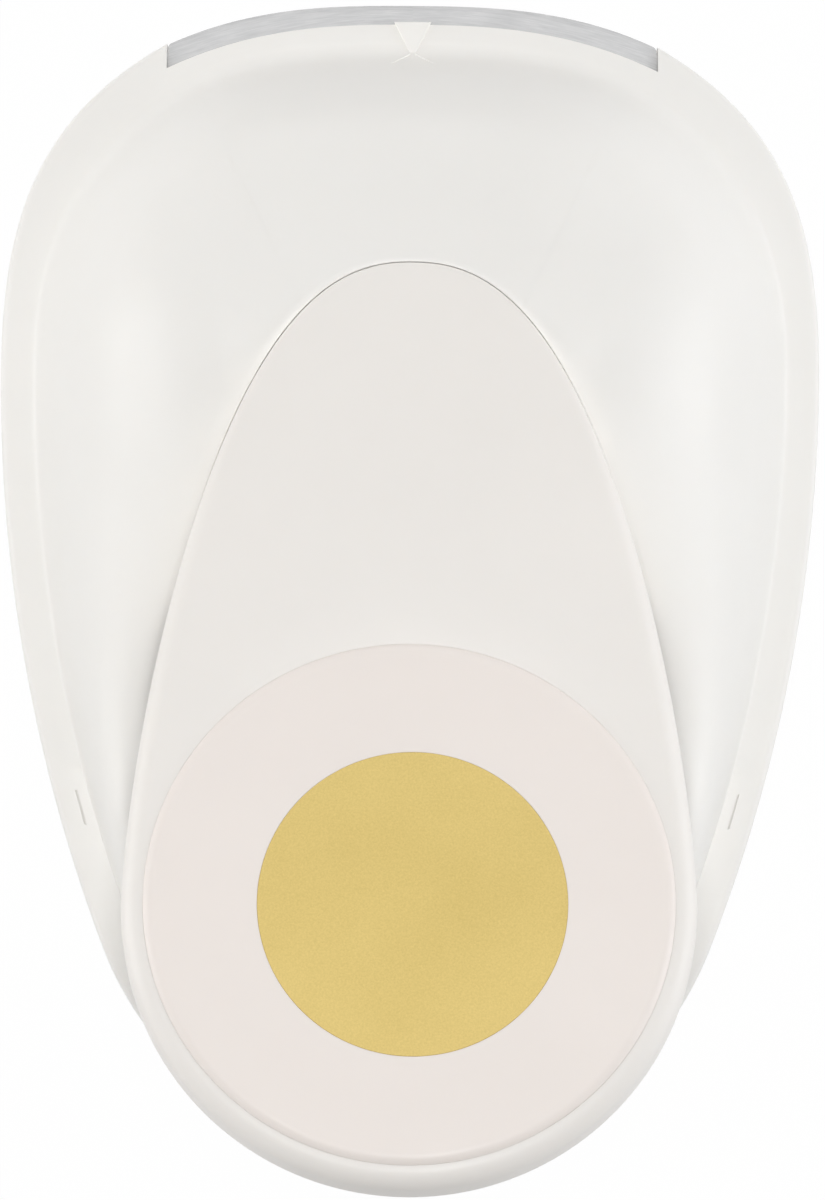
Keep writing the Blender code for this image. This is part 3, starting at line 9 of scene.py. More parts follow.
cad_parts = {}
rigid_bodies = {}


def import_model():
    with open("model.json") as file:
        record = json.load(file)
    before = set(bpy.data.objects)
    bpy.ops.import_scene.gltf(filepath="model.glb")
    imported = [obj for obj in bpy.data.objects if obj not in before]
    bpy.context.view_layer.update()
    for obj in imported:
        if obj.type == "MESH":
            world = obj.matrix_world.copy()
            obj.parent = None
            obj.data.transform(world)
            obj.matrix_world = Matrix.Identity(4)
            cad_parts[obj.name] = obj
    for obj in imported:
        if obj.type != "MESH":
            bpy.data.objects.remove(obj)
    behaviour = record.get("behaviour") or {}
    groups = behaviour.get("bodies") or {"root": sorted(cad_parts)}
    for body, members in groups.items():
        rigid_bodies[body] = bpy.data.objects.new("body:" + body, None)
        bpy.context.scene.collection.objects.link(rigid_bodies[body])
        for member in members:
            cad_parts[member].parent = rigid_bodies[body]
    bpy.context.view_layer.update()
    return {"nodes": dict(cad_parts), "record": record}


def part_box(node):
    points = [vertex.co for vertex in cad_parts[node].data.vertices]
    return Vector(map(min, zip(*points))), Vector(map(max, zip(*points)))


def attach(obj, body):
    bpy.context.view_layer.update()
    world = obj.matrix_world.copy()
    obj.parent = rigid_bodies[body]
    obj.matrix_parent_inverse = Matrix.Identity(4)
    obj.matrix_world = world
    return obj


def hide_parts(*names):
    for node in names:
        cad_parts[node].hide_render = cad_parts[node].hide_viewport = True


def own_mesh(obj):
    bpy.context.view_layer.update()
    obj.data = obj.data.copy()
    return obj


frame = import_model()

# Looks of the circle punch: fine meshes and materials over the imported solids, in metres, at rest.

CUT = "DIFFERENCE"
JOIN = "UNION"

# Fits
FIT_GAP = 0.0003
OVERRUN = 0.002
WELD_DISTANCE = 0.000002

# Plan of the body
BODY_LENGTH = 0.15005
DIE_RADIUS = 0.025
MOUTH_HALF_WIDTH = 0.0319
BODY_HALF_WIDTH = 0.05315
WIDEST_FROM_MOUTH = 0.0488
SIDE_ARC_RADIUS = 0.2069
MOUTH_ARC_RADIUS = 0.0903
MOUTH_SAG = 0.0053
MOUTH_BOW = 2.8
LIP_SAG = 0.0059
LIP_BOW = 2.6
MOUTH_CORNER = 0.0004
CORNER_START_SHARES = (0.79, 0.222)
CORNER_END_SHARE = 0.478
CORNER_STEPS = 36
CORNER_DROP = 0.0002
CORNER_DROP_SPAN = (0.026, MOUTH_HALF_WIDTH)

# Lever
LEVER_TILT = math.radians(15)
TILT_COS = math.cos(LEVER_TILT)
TILT_SIN = math.sin(LEVER_TILT)
APEX_FROM_MOUTH = 0.035
APEX_HEIGHT = 0.045
APEX_TO_PAD = 0.0825
LEVER_END_RADIUS = 0.0355
OGIVE_POWER_SHARES = (1.465, 0.43)
LEVER_WALL = 0.0022
LEVER_EDGE_RADIUS = 0.0025
NOSE_EDGE_RADIUS = 0.0003
EDGE_BLEND = (0.0, 0.045)
NOSE_SKIRT = 0.0032
DEEP_SKIRT = 0.019
REAR_SKIRT = 0.007
NOSE_LENGTH = 0.008
DEEP_SKIRT_START = 0.026
DEEP_SKIRT_END = 0.062
SKIRT_STEP_LENGTH = 0.002
SKIRT_BREAK = 0.0003
NOSE_STEP_POWER = 1.3
OPENING_GAP = 0.0007
OPENING_REAR_GAP = 0.0012
OPENING_EDGE = 0.00015
OPENING_LINE = 0.00006

# Thumb pad
PAD_RADIUS = 0.03275
PAD_GROOVE = 0.00001
PAD_GROOVE_DEPTH = 0.00003
DISC_LINE = 0.00001
DISC_EDGE = 0.00005
DISC_OFFSET = (-0.0004, 0.0003)
PAD_RECESS = 0.002
PAD_RISE = 0.0006
PAD_EDGE_RADIUS = 0.0017
PAD_BED = 0.0024
DISC_RADIUS = 0.0191
DISC_THICKNESS = 0.0004

# Heights
BASE_HEIGHT = 0.013
BASE_WALL = 0.0022
BASE_EDGE = 0.0006
BASE_DECK = 0.003
BOTTOM_PLATE = 0.002
DIE_BOTTOM = 0.010
DIE_TOP = 0.013
GUIDE_BOTTOM = 0.0146
GUIDE_TOP = 0.0171
FLANGE_BOTTOM = 0.0174
FLANGE_HEIGHT = 0.0192
PIVOT_Z = 0.027
WING_BOTTOM = 0.027
COVER_BOTTOM = BASE_HEIGHT + FIT_GAP

# Upper cover
RIM_WALL = 0.0019
LIP_SETBACK = 0.0029
COVER_WALL = 0.0022
FLANGE_EDGE = 0.0009
FLANGE_FRONT_FALL = 0.0014
FLANGE_SIDE_FALL = 0.0003
FLANGE_FRONT_WIDTH = 0.0069
FLANGE_SIDE_WIDTH = 0.0046
SHOULDER_FRONT_INSET = 0.0215
SHOULDER_REAR_INSET = 0.007
SHOULDER_HEIGHT = 0.041
SHELF_SHOULDER_HEIGHT = 0.0316
CROWN_RISE = 0.008
SHELF_CROWN_RISE = 0.0012
CROWN_FROM_MOUTH = 0.0695
FLANGE_BLEND = (0.012, 0.045)
SHOULDER_BLEND = (0.0575, 0.1155)
HEIGHT_BLEND = (0.0555, 0.1015)
WALL_FRONT_SHARES = (
    (-0.14, 0.0), (-0.05, 0.02), (0.04, 0.08), (0.13, 0.2), (0.29, 0.43), (0.5, 0.66), (0.76, 0.87), (1, 1),
)
WALL_SIDE_SHARES = (
    (-0.05, 0.0), (0.0, 0.02), (0.06, 0.1), (0.15, 0.245), (0.3, 0.46), (0.5, 0.67), (0.76, 0.87), (1, 1),
)
CROWN_BLEND = (0.01, 0.045)
SHOULDER_ROUND_START = 22
SHOULDER_LIFT_SHARE = 0.6
SHOULDER_ROUND_SHARES = (1.2, 0.8)
CENTRE_MARK_WIDTH = 0.0048
CENTRE_MARK_TIP = 0.0006
CENTRE_MARK_RISE = 0.0001
CENTRE_MARK_LEVEL = 0.5
CENTRE_MARK_BREAK = 0.00015
CENTRE_MARK_OVERHANG = 0.0003
CENTRE_BAR_RADIUS = 0.0002
CENTRE_BAR_REACH = (0.0023, 0.0013)
CENTRE_BAR_TAPER_SHARE = 0.7
SNAP_SLOT_FROM_TAIL = 0.04525
SNAP_SLOT_LENGTH = 0.0045
SNAP_SLOT_WIDTH = 0.00028
SNAP_SLOT_DEPTH = 0.0006
SNAP_SLOT_INSET = 0.0031

# Steps of curves and rounds
ROUND_STEPS = 32
EDGE_STEPS = 4
MOUTH_STEPS = 32
MOUTH_CORNER_STEPS = 6
SIDE_STEPS = 40
TAIL_STEPS = 36
PAD_END_STEPS = 48
PLATE_CORNER_STEPS = 12
WALL_STEPS = 4
SNAP_STEPS = 6
CEILING_STEPS = 5
LEVER_STEPS = 90
OPENING_STEPS = 120
LEVER_EDGE_STEPS = 8
CROWN_STEPS = 8
CHUTE_STEPS = 96
DIE_STEPS = 128
PAD_STEPS = 160
SCREW_STEPS = 28
SPRING_STEPS = 28
WIRE_SIDES = 10
BAR_SIDES = 8
BAR_STEPS = 5

# Screws: shank radius, head radius, head height
STACK_SCREW = (0.00185, 0.0031, 0.002)
SMALL_SCREW = (0.00105, 0.0018, 0.0013)
HOUSING_SCREW = (0.0015, 0.0027, 0.002)
BOSS_WALL = 0.0013
STACK_SCREW_EDGE = 0.0049
STACK_SCREW_SHARES = (0.37, 1.0)
SCREW_SEAT = 0.006
THREAD_PITCH = 0.0006
THREAD_ROOT_SHARE = 0.76
THREAD_SHARES = ((0.12, 1.0), (0.42, THREAD_ROOT_SHARE), (0.58, THREAD_ROOT_SHARE), (0.88, 1.0))
ROUND_HEAD_SHARES = ((0.45, 1.0), (0.78, 0.93), (0.94, 0.7), (1.0, 0.4))
FLAT_RING_SHARE = 0.6
RECESS_DEPTH_SHARE = 0.55
CROSS_ARM_SHARES = (0.55, 0.12)
SOCKET_SHARE = 0.5
SCREW_SPIN = (90, 40)
BREAK = 0.00012
STACK_HOLE = STACK_SCREW[0] + FIT_GAP
SMALL_HOLE = SMALL_SCREW[0] + FIT_GAP
HEAD_HOLE = HOUSING_SCREW[1] + FIT_GAP

# Cutting set and base
CUTTER_FROM_MOUTH = 0.0375
PIVOT_FROM_MOUTH = 0.0205
THROAT_BEHIND_DIE = 0.0026
SPACER_LENGTH = 0.0174
GUIDE_SETBACK = 0.0009
GUIDE_WING_X = 0.0377
GUIDE_WING_FROM_MOUTH = 0.0155
GUIDE_NECK_FROM_MOUTH = 0.0105
PLATE_CORNER_RADIUS = 0.003
PLATE_EDGE = 0.00006
PLATE_LINE = 0.00001
CHUTE_MARGIN = 0.003
BOTTOM_WINDOW_MARGIN = 0.002
TAB_THICKNESS = 0.001

# Guide posts and springs
POST_X = 0.0305
POST_REACH = 0.007
POST_RADIUS = 0.00175
SPRING_WIRE = 0.0004
SPRING_RUNNING_GAP = 0.0006
SPRING_TURNS = 5

# Surfaces
NOISE_RANGE = (0.3, 0.7)
GRAIN_DEPTH = 0.00002
FLOW_MARK_DEPTH = 0.0002
FOIL_DENT_DEPTH = 0.00003
GRIND_LINE_REACH = 0.004

# Stage and lamps: name, place, size, power, spread in degrees and colour
FLOOR_BOX = ((-3.0, -3.0, -0.01), (3.0, 3.0, -0.0002))
FLOOR_GLOW_SHARE = 0.98
WORLD_LIGHT = 0.345
LAMPS = (
    ("top", (0.0, -0.1, 1.6), (0.25, 0.25), 0.82, 55, (1, 1, 1)),
    ("side_left", (-0.58, -0.03, 0.16), (0.3, 0.5), 1.5, 180, (0.95, 0.97, 1.0)),
    ("side_right", (0.58, -0.03, 0.16), (0.3, 0.5), 1.36, 180, (1, 1, 1)),
    ("front", (0.0, -0.62, 0.17), (0.7, 0.3), 0.59, 180, (1, 1, 1)),
    ("back", (0.0, 0.62, 0.17), (0.7, 0.3), 0.04, 180, (1, 1, 1)),
)

# Photograph's view
CAMERA_PLACE = (0.0064, 0.0025, 0.9)
CAMERA_TARGET = (-0.0005, 0.0022, 0.0192)
CAMERA_LENS = 203.7
CAMERA_ROLL = math.radians(0.41)

# Lengthwise places
REACH_BACK = (APEX_TO_PAD + LEVER_END_RADIUS) * TILT_COS + REAR_SKIRT * TILT_SIN
MOUTH_Y = -(APEX_FROM_MOUTH + REACH_BACK) / 2
WIDEST_Y = MOUTH_Y + WIDEST_FROM_MOUTH
TAIL_Y = MOUTH_Y + BODY_LENGTH
CUTTER_Y = MOUTH_Y + CUTTER_FROM_MOUTH
PIVOT_Y = MOUTH_Y + PIVOT_FROM_MOUTH
THROAT_END_Y = CUTTER_Y + DIE_RADIUS + THROAT_BEHIND_DIE
SPACER_END_Y = THROAT_END_Y + SPACER_LENGTH
APEX_Y = MOUTH_Y + APEX_FROM_MOUTH
CROWN_Y = MOUTH_Y + CROWN_FROM_MOUTH
APEX_U = (APEX_Y - PIVOT_Y) * TILT_COS + (APEX_HEIGHT - PIVOT_Z) * TILT_SIN
LEVER_TOP = (APEX_HEIGHT - PIVOT_Z) * TILT_COS - (APEX_Y - PIVOT_Y) * TILT_SIN
PAD_U = APEX_U + APEX_TO_PAD
SKIRT_END_U = APEX_U + DEEP_SKIRT_END
SKIRT_SWING = math.hypot(SKIRT_END_U, LEVER_TOP - DEEP_SKIRT) + SKIRT_STEP_LENGTH
OPENING_REAR_Y = PIVOT_Y + SKIRT_SWING + OPENING_REAR_GAP

POST_NAMES = [f"{end}_{side}" for end in ("front", "rear") for side in ("left", "right")]
POSTS = [(side * POST_X, CUTTER_Y + way * POST_REACH) for way in (-1, 1) for side in (-1, 1)]


# Meshes

def add_object(name, data):
    obj = bpy.data.objects.new(name, data)
    bpy.context.scene.collection.objects.link(obj)
    return obj


def smoothed(mesh, angle):
    mesh.shade_smooth()
    mesh.set_sharp_from_angle(angle=math.radians(angle))
    return mesh


def mesh_from(name, build, angle=30):
    """A mesh filled by a function, smooth but for its sharp edges."""
    shape = bmesh.new()
    build(shape)
    bmesh.ops.remove_doubles(shape, verts=shape.verts, dist=WELD_DISTANCE)
    bmesh.ops.recalc_face_normals(shape, faces=shape.faces)
    mesh = bpy.data.meshes.new(name)
    shape.to_mesh(mesh)
    shape.free()
    return smoothed(mesh, angle)


def piece(name, mesh, look, body, *nodes, slot=None):
    obj = add_object(name, mesh)
    material = LOOKS[look]
    mesh.materials.clear()
    mesh.materials.append(material)
    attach(obj, body)
    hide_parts(*nodes)
    return obj


def modified(target, angle):
    """The mesh that an object's modifiers make, smooth but for its sharp edges; the object goes."""
    bpy.context.view_layer.update()
    graph = bpy.context.evaluated_depsgraph_get()
    result = bpy.data.meshes.new_from_object(target.evaluated_get(graph))
    result.name = target.data.name
    bpy.data.objects.remove(target, do_unlink=True)
    return smoothed(result, angle)


def carved(mesh, *steps, angle=30):
    """The mesh after exact Booleans with each (function or mesh, operation)."""
    target = add_object("carved", mesh)
    tools = []
    for build, operation in steps:
        tools.append(add_object("tool", mesh_from("tool", build) if callable(build) else build))
        boolean = target.modifiers.new("cut", "BOOLEAN")
        boolean.operation = operation
        boolean.object = tools[-1]
        boolean.solver = "EXACT"
    result = modified(target, angle)
    for tool in tools:
        bpy.data.objects.remove(tool, do_unlink=True)
    return result


def edged(mesh, angle=40):
    """The mesh with its sharp edges broken by a small bevel."""
    target = add_object("edged", mesh)
    bevel = target.modifiers.new("edge", "BEVEL")
    bevel.width = PLATE_EDGE
    bevel.segments = 2
    bevel.limit_method = "ANGLE"
    bevel.angle_limit = math.radians(angle)
    bevel.use_clamp_overlap = True
    return modified(target, angle)


def skin(shape, rings, first_tip=None, last_tip=None, closed=True):
    """Quads between rings of equal count, closed by flat ends or by fans to the tips, or left open."""
    rows = [[shape.verts.new(point) for point in ring] for ring in rings]
    count = len(rows[0])
    for lower, upper in zip(rows, rows[1:]):
        for i in range(count):
            j = (i + 1) % count
            shape.faces.new((lower[i], lower[j], upper[j], upper[i]))
    if not closed:
        return
    for row, tip, forward in ((rows[0], first_tip, False), (rows[-1], last_tip, True)):
        if tip is None:
            shape.faces.new(row if forward else row[::-1])
            continue
        top = shape.verts.new(tip)
        for i in range(count):
            edge = (row[i], row[(i + 1) % count])
            shape.faces.new((*edge, top) if forward else (*edge[::-1], top))


def round_ring(centre, across, up, radius, steps):
    turns = [2 * math.pi * i / steps for i in range(steps)]
    return [centre + (across * math.cos(turn) + up * math.sin(turn)) * radius for turn in turns]


def prism(shape, outline, bottom, top):
    skin(shape, [[(x, y, z) for x, y in outline] for z in (bottom, top)])


def box(shape, low, high):
    size = Vector(high) - Vector(low)
    middle = (Vector(high) + Vector(low)) / 2
    place = Matrix.Translation(middle) @ Matrix.Diagonal((*size, 1.0))
    bmesh.ops.create_cube(shape, size=1.0, matrix=place)


def upright(shape, radius, x, y, bottom, top, steps=ROUND_STEPS):
    bmesh.ops.create_cone(
        shape, cap_ends=True, segments=steps, radius1=radius, radius2=radius, depth=top - bottom,
        matrix=Matrix.Translation((x, y, (bottom + top) / 2)) @ Matrix.Rotation(math.pi / steps, 4, "Z"),
    )


def uprights(shape, places, radius, bottom, top):
    for x, y in places:
        upright(shape, radius, x, y, bottom, top)


def turned(shape, profile, steps, place=Matrix.Identity(4)):
    """A solid turned about its own Z from a half section that runs from its top down its outer side."""
    rings = []
    for radius, height in profile:
        count = steps if radius > 0 else 1
        ring = round_ring(Vector((0, 0, height)), Vector((1, 0, 0)), Vector((0, 1, 0)), radius, count)
        rings.append([shape.verts.new(place @ point) for point in ring])
    if profile[0][0] > 0:
        rings.append(rings[0])
    for upper, lower in zip(rings, rings[1:]):
        for i in range(steps):
            j = (i + 1) % steps
            corners = ((upper, i), (lower, i), (lower, j), (upper, j))
            unique = list(dict.fromkeys(ring[k % len(ring)] for ring, k in corners))
            if len(unique) > 2:
                shape.faces.new(unique)


# Outlines

def ease(value, start, end):
    share = min(max((value - start) / (end - start), 0.0), 1.0)
    return share * share * (3 - 2 * share)


def mix(first, second, share):
    return first + (second - first) * share


def quarter(steps):
    return [math.pi / 2 * i / steps for i in range(steps + 1)]


def mirrored(half):
    return half + [(-x, y) for x, y in half[-2:0:-1]]


def arc(centre, radius, start, end, steps):
    angles = [mix(start, end, i / steps) for i in range(steps + 1)]
    return [(centre[0] + radius * math.cos(a), centre[1] + radius * math.sin(a)) for a in angles]


def mouth_line(setback, half_width, sag=MOUTH_SAG, bow=MOUTH_BOW, corner=0.0):
    """Right half of a line that bows across the mouth, with its corner rounded where asked."""
    straight = half_width - corner
    places = [straight * i / MOUTH_STEPS for i in range(MOUTH_STEPS + 1)]
    if corner:
        places += [straight + corner * math.sin(turn) for turn in quarter(MOUTH_CORNER_STEPS)[1:]]
    points = []
    for x in places:
        drop = corner - math.sqrt(max(corner**2 - max(x - straight, 0.0) ** 2, 0.0))
        points.append((x, MOUTH_Y + setback + sag * (x / MOUTH_HALF_WIDTH) ** bow + drop))
    return points


def body_half():
    """Right half of the body's plan: mouth, corner, long side and tail, each flowing into the next."""
    front = mouth_line(0.0, MOUTH_HALF_WIDTH)
    points = [(x, y + CORNER_DROP * ease(x, *CORNER_DROP_SPAN)) for x, y in front]
    start = Vector(points[-1])
    end = Vector((BODY_HALF_WIDTH, WIDEST_Y))
    span = end - start
    first = start + Vector((span.x * CORNER_START_SHARES[0], span.y * CORNER_START_SHARES[1]))
    second = end - Vector((0.0, span.y * CORNER_END_SHARE))
    points += [tuple(p) for p in interpolate_bezier(start, first, second, end, CORNER_STEPS + 1)[1:]]
    reach = TAIL_Y - WIDEST_Y
    side_x = BODY_HALF_WIDTH - SIDE_ARC_RADIUS
    tail_radius = (SIDE_ARC_RADIUS**2 - side_x**2 - reach**2) / (2 * (SIDE_ARC_RADIUS - reach))
    tail_y = TAIL_Y - tail_radius
    turn = math.atan2(tail_y - WIDEST_Y, -side_x)
    points += arc((side_x, WIDEST_Y), SIDE_ARC_RADIUS, 0.0, turn, SIDE_STEPS)[1:]
    points += arc((0.0, tail_y), tail_radius, turn, math.pi / 2, TAIL_STEPS)[1:]
    points[-1] = (0.0, TAIL_Y)
    return points


def inward(outline):
    result = []
    for i in range(len(outline)):
        along = (Vector(outline[(i + 1) % len(outline)]) - Vector(outline[i - 1])).normalized()
        result.append(Vector((-along.y, along.x)))
    return result


def shrunk(outline, amount):
    """The outline moved inward by one amount, or by one for each point."""
    amounts = amount if isinstance(amount, list) else [amount] * len(outline)
    return [tuple(Vector(p) + n * a) for p, n, a in zip(outline, inward(outline), amounts)]


BODY = mirrored(body_half())
BODY_INWARD = inward(BODY)


def body_half_width(y):
    half = body_half()
    return next(mix(x, u, (y - w) / (v - w)) for (x, w), (u, v) in zip(half, half[1:]) if w <= y <= v)


STACK_REACHES = [share * (MOUTH_HALF_WIDTH - STACK_SCREW_EDGE) for share in STACK_SCREW_SHARES]
STACK_SCREWS = [(side * x, (THROAT_END_Y + SPACER_END_Y) / 2) for x in STACK_REACHES for side in (-1, 1)]


def middle_of(node):
    low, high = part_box(node)
    return (low[0] + high[0]) / 2, (low[1] + high[1]) / 2


def places_of(prefix):
    return [middle_of(node) for node in sorted(frame["nodes"]) if node.startswith(prefix)]


DIE_SCREWS = places_of("die_screw")
BOTTOM_SCREWS = places_of("bottom_screw")
HOUSING_SCREWS = places_of("housing_screw")
BRACKET_SCREWS = places_of("bracket_screw")
COVER_SCREWS = places_of("cover_screw")


def body_ring(amount, height):
    return [(*(Vector(p) + n * amount), height) for p, n in zip(BODY, BODY_INWARD)]


def lever_half_width(from_apex):
    bow, fullness = OGIVE_POWER_SHARES
    share = 1 - min(from_apex / APEX_TO_PAD, 1.0)
    return LEVER_END_RADIUS * (1 - share**bow) ** fullness


def lever_half():
    """Right half of the lever's plan in its own axes, from the apex round the pad."""
    shares = [(i / LEVER_STEPS) ** NOSE_STEP_POWER for i in range(1, LEVER_STEPS + 1)]
    even = [APEX_TO_PAD * (1 - math.cos(math.pi / 2 * share)) for share in shares]
    marks = [mix(DEEP_SKIRT_END, DEEP_SKIRT_END + SKIRT_STEP_LENGTH, i / 4) for i in range(5)]
    apart = [place for place in even if min(abs(place - mark) for mark in marks) > SKIRT_STEP_LENGTH / 6]
    points = [(0.0, APEX_U)]
    for from_apex in sorted(apart + marks):
        points.append((lever_half_width(from_apex), APEX_U + from_apex))
    points += arc((0.0, PAD_U), LEVER_END_RADIUS, 0.0, math.pi / 2, PAD_END_STEPS)[1:]
    points[-1] = (0.0, PAD_U + LEVER_END_RADIUS)
    return points


def skirt_depth(u):
    back = u - APEX_U
    if back > DEEP_SKIRT_END:
        return mix(DEEP_SKIRT, REAR_SKIRT, ease(back, DEEP_SKIRT_END, DEEP_SKIRT_END + SKIRT_STEP_LENGTH))
    return mix(NOSE_SKIRT, DEEP_SKIRT, ease(back, NOSE_LENGTH, DEEP_SKIRT_START))


LEVER_PLACE = Matrix.Translation((0, PIVOT_Y, PIVOT_Z)) @ Matrix.Rotation(LEVER_TILT, 4, "X")


# Cover's surface

def spline(points):
    """A smooth line through the points, with an even number of steps in each stretch."""
    padded = [points[0] * 2 - points[1], *points, points[-1] * 2 - points[-2]]
    result = [points[0]]
    for a, b, c, d in zip(padded, padded[1:], padded[2:], padded[3:]):
        result += interpolate_bezier(b, b + (c - a) / 6, c - (d - b) / 6, c, WALL_STEPS + 1)[1:]
    return result


FRONT_LINE = spline([Vector(p) for p in WALL_FRONT_SHARES])
SIDE_LINE = spline([Vector(p) for p in WALL_SIDE_SHARES])


def wall_profile(y):
    """The wall at one place of the outline, from its foot to its shoulder, as (inset, height)."""
    back = y - MOUTH_Y
    blend = ease(back, *FLANGE_BLEND)
    foot = mix(FLANGE_FRONT_WIDTH, FLANGE_SIDE_WIDTH, blend)
    shoulder = mix(SHOULDER_FRONT_INSET, SHOULDER_REAR_INSET, ease(back, *SHOULDER_BLEND))
    top = mix(SHOULDER_HEIGHT, SHELF_SHOULDER_HEIGHT, ease(back, *HEIGHT_BLEND))
    line = [a.lerp(b, blend) for a, b in zip(FRONT_LINE, SIDE_LINE)]
    return [(mix(foot, shoulder, p.x), mix(FLANGE_HEIGHT, top, p.y)) for p in line]


def set_back(profile, thickness):
    moved = []
    for i, (inset, height) in enumerate(profile):
        before = Vector(profile[max(i - 1, 0)])
        after = Vector(profile[min(i + 1, len(profile) - 1)])
        along = (after - before).normalized()
        moved.append((inset + along.y * thickness, height - along.x * thickness))
    return moved


def opening_outline():
    """The cover's opening for the lever: an ogive with a straight rear edge."""
    nose = NOSE_EDGE_RADIUS * (TILT_COS + TILT_SIN - 1)
    reach = (OPENING_REAR_Y - OPENING_GAP - APEX_Y - nose) / TILT_COS
    half = [(0.0, APEX_Y + nose)]
    for turn in quarter(OPENING_STEPS)[1:]:
        from_apex = reach * (1 - math.cos(turn))
        half.append((lever_half_width(from_apex), APEX_Y + nose + from_apex * TILT_COS))
    half.append((0.0, half[-1][1]))
    return shrunk(mirrored(half), -OPENING_LINE)


def crossing(outline, centre, direction):
    """How far from the centre a ray leaves a closed outline."""
    hits = []
    for first, second in zip(outline, outline[1:] + outline[:1]):
        edge = Vector(second) - Vector(first)
        start = Vector(first) - centre
        cross = direction.cross(edge)
        if abs(cross) > 1e-12 and -1e-6 <= start.cross(direction) / cross <= 1 + 1e-6:
            hits.append(start.cross(edge) / cross)
    return max(hits)


def cover_skins():
    """Rings of the cover's outside and of its ceiling, from the foot to the opening's edge."""
    centre = Vector((0.0, CROWN_Y))
    outline = opening_outline()
    outside = []
    ceiling = []
    for point, normal in zip(BODY, BODY_INWARD):
        profile = wall_profile(point[1])
        foot, base = profile[0][1], profile[-1][1]
        span = Vector(point) + normal * profile[-1][0] - centre
        back = point[1] - MOUTH_Y
        edge = crossing(outline, centre, span.normalized())
        rise = mix(CROWN_RISE, SHELF_CROWN_RISE, ease(back, *HEIGHT_BLEND))
        last = 1 - (edge + OPENING_EDGE) / span.length
        level = ease(back, *CROWN_BLEND)
        climb = rise * (1 - (1 - last) ** 2)
        lift = climb * SHOULDER_LIFT_SHARE
        stretch = lift * level / (base - foot)
        profile = [(inset, height + stretch * (height - foot)) for inset, height in profile]
        wall, under = [
            [Vector((*(Vector(point) + normal * inset), height)) for inset, height in line]
            for line in (profile, set_back(profile, COVER_WALL))
        ]
        shoulder = wall[-1]

        def on_crown(share):
            flat_end = lift + (climb - lift) * (1 - (1 - share / last) ** 2)
            height = base + mix(rise * (1 - (1 - share) ** 2), flat_end, level)
            return Vector((*(centre + span * (1 - share)), height))

        start = wall[SHOULDER_ROUND_START]
        reach, most = SHOULDER_ROUND_SHARES
        first = min((shoulder - start).length * reach / span.length, last * most)
        end = on_crown(first)
        handles = [place.lerp(shoulder, 2 / 3) for place in (start, end)]
        crown = interpolate_bezier(start, *handles, end, CROWN_STEPS + 1)[1:]
        crown += [on_crown(mix(first, last, i / CROWN_STEPS)) for i in range(1, CROWN_STEPS + 1)]
        top = crown[-1].z
        for turn in quarter(EDGE_STEPS)[1:]:
            place = centre + span.normalized() * (edge + OPENING_EDGE * (1 - math.sin(turn)))
            crown.append(Vector((*place, top - OPENING_EDGE * (1 - math.cos(turn)))))
        rim = Vector((*crown[-1].xy, top - COVER_WALL))
        outside.append(wall[:SHOULDER_ROUND_START + 1] + crown + [rim])
        lower = under[-1].xy
        for i in range(1, CEILING_STEPS):
            place = lower.lerp(rim.xy, i / CEILING_STEPS)
            crossed = 1 - (place - centre).length / span.length
            under.append(Vector((*place, on_crown(crossed).z - COVER_WALL)))
        ceiling.append(under)
    return outside, ceiling


def lip_height(inset):
    """Height of the lip's slope in front of the wall, in the middle of the mouth."""
    reach, height = wall_profile(MOUTH_Y)[0]
    return height - FLANGE_FRONT_FALL * (reach - inset) / (reach - FLANGE_EDGE)


def rim_foot(inset):
    """Ring at the rim's foot, which is raised over the mouth's two sides."""
    heights = [GUIDE_BOTTOM if y < THROAT_END_Y else COVER_BOTTOM for _, y in BODY]
    return [(x, y, height) for (x, y, _), height in zip(body_ring(inset, 0), heights)]


def cover_shell(shape):
    outside, ceiling = cover_skins()
    blends = [ease(y - MOUTH_Y, *FLANGE_BLEND) for _, y in BODY]
    falls = [mix(FLANGE_FRONT_FALL, FLANGE_SIDE_FALL, blend) for blend in blends]
    rings = [rim_foot(0)]
    for turn in quarter(EDGE_STEPS):
        drop = FLANGE_EDGE * (1 - math.sin(turn))
        ring = body_ring(FLANGE_EDGE * (1 - math.cos(turn)), FLANGE_HEIGHT - drop)
        rings.append([(x, y, z - fall) for (x, y, z), fall in zip(ring, falls)])
    rings += [[rib[k] for rib in outside] for k in range(len(outside[0]))]
    rings += [[rib[k] for rib in ceiling] for k in range(len(ceiling[0]) - 1, 0, -1)]
    rings.append([(rib[0].x, rib[0].y, FLANGE_BOTTOM) for rib in ceiling])
    rings += [body_ring(RIM_WALL, FLANGE_BOTTOM), rim_foot(RIM_WALL), rings[0]]
    skin(shape, rings, closed=False)


def mouth_tool(shape):
    edge = mouth_line(LIP_SETBACK, MOUTH_HALF_WIDTH, LIP_SAG, LIP_BOW)
    outline = edge[::-1] + [(-x, y) for x, y in edge[1:]]
    outline += [(side * MOUTH_HALF_WIDTH, MOUTH_Y - OVERRUN) for side in (-1, 1)]
    prism(shape, outline, DIE_BOTTOM, FLANGE_HEIGHT + OVERRUN)


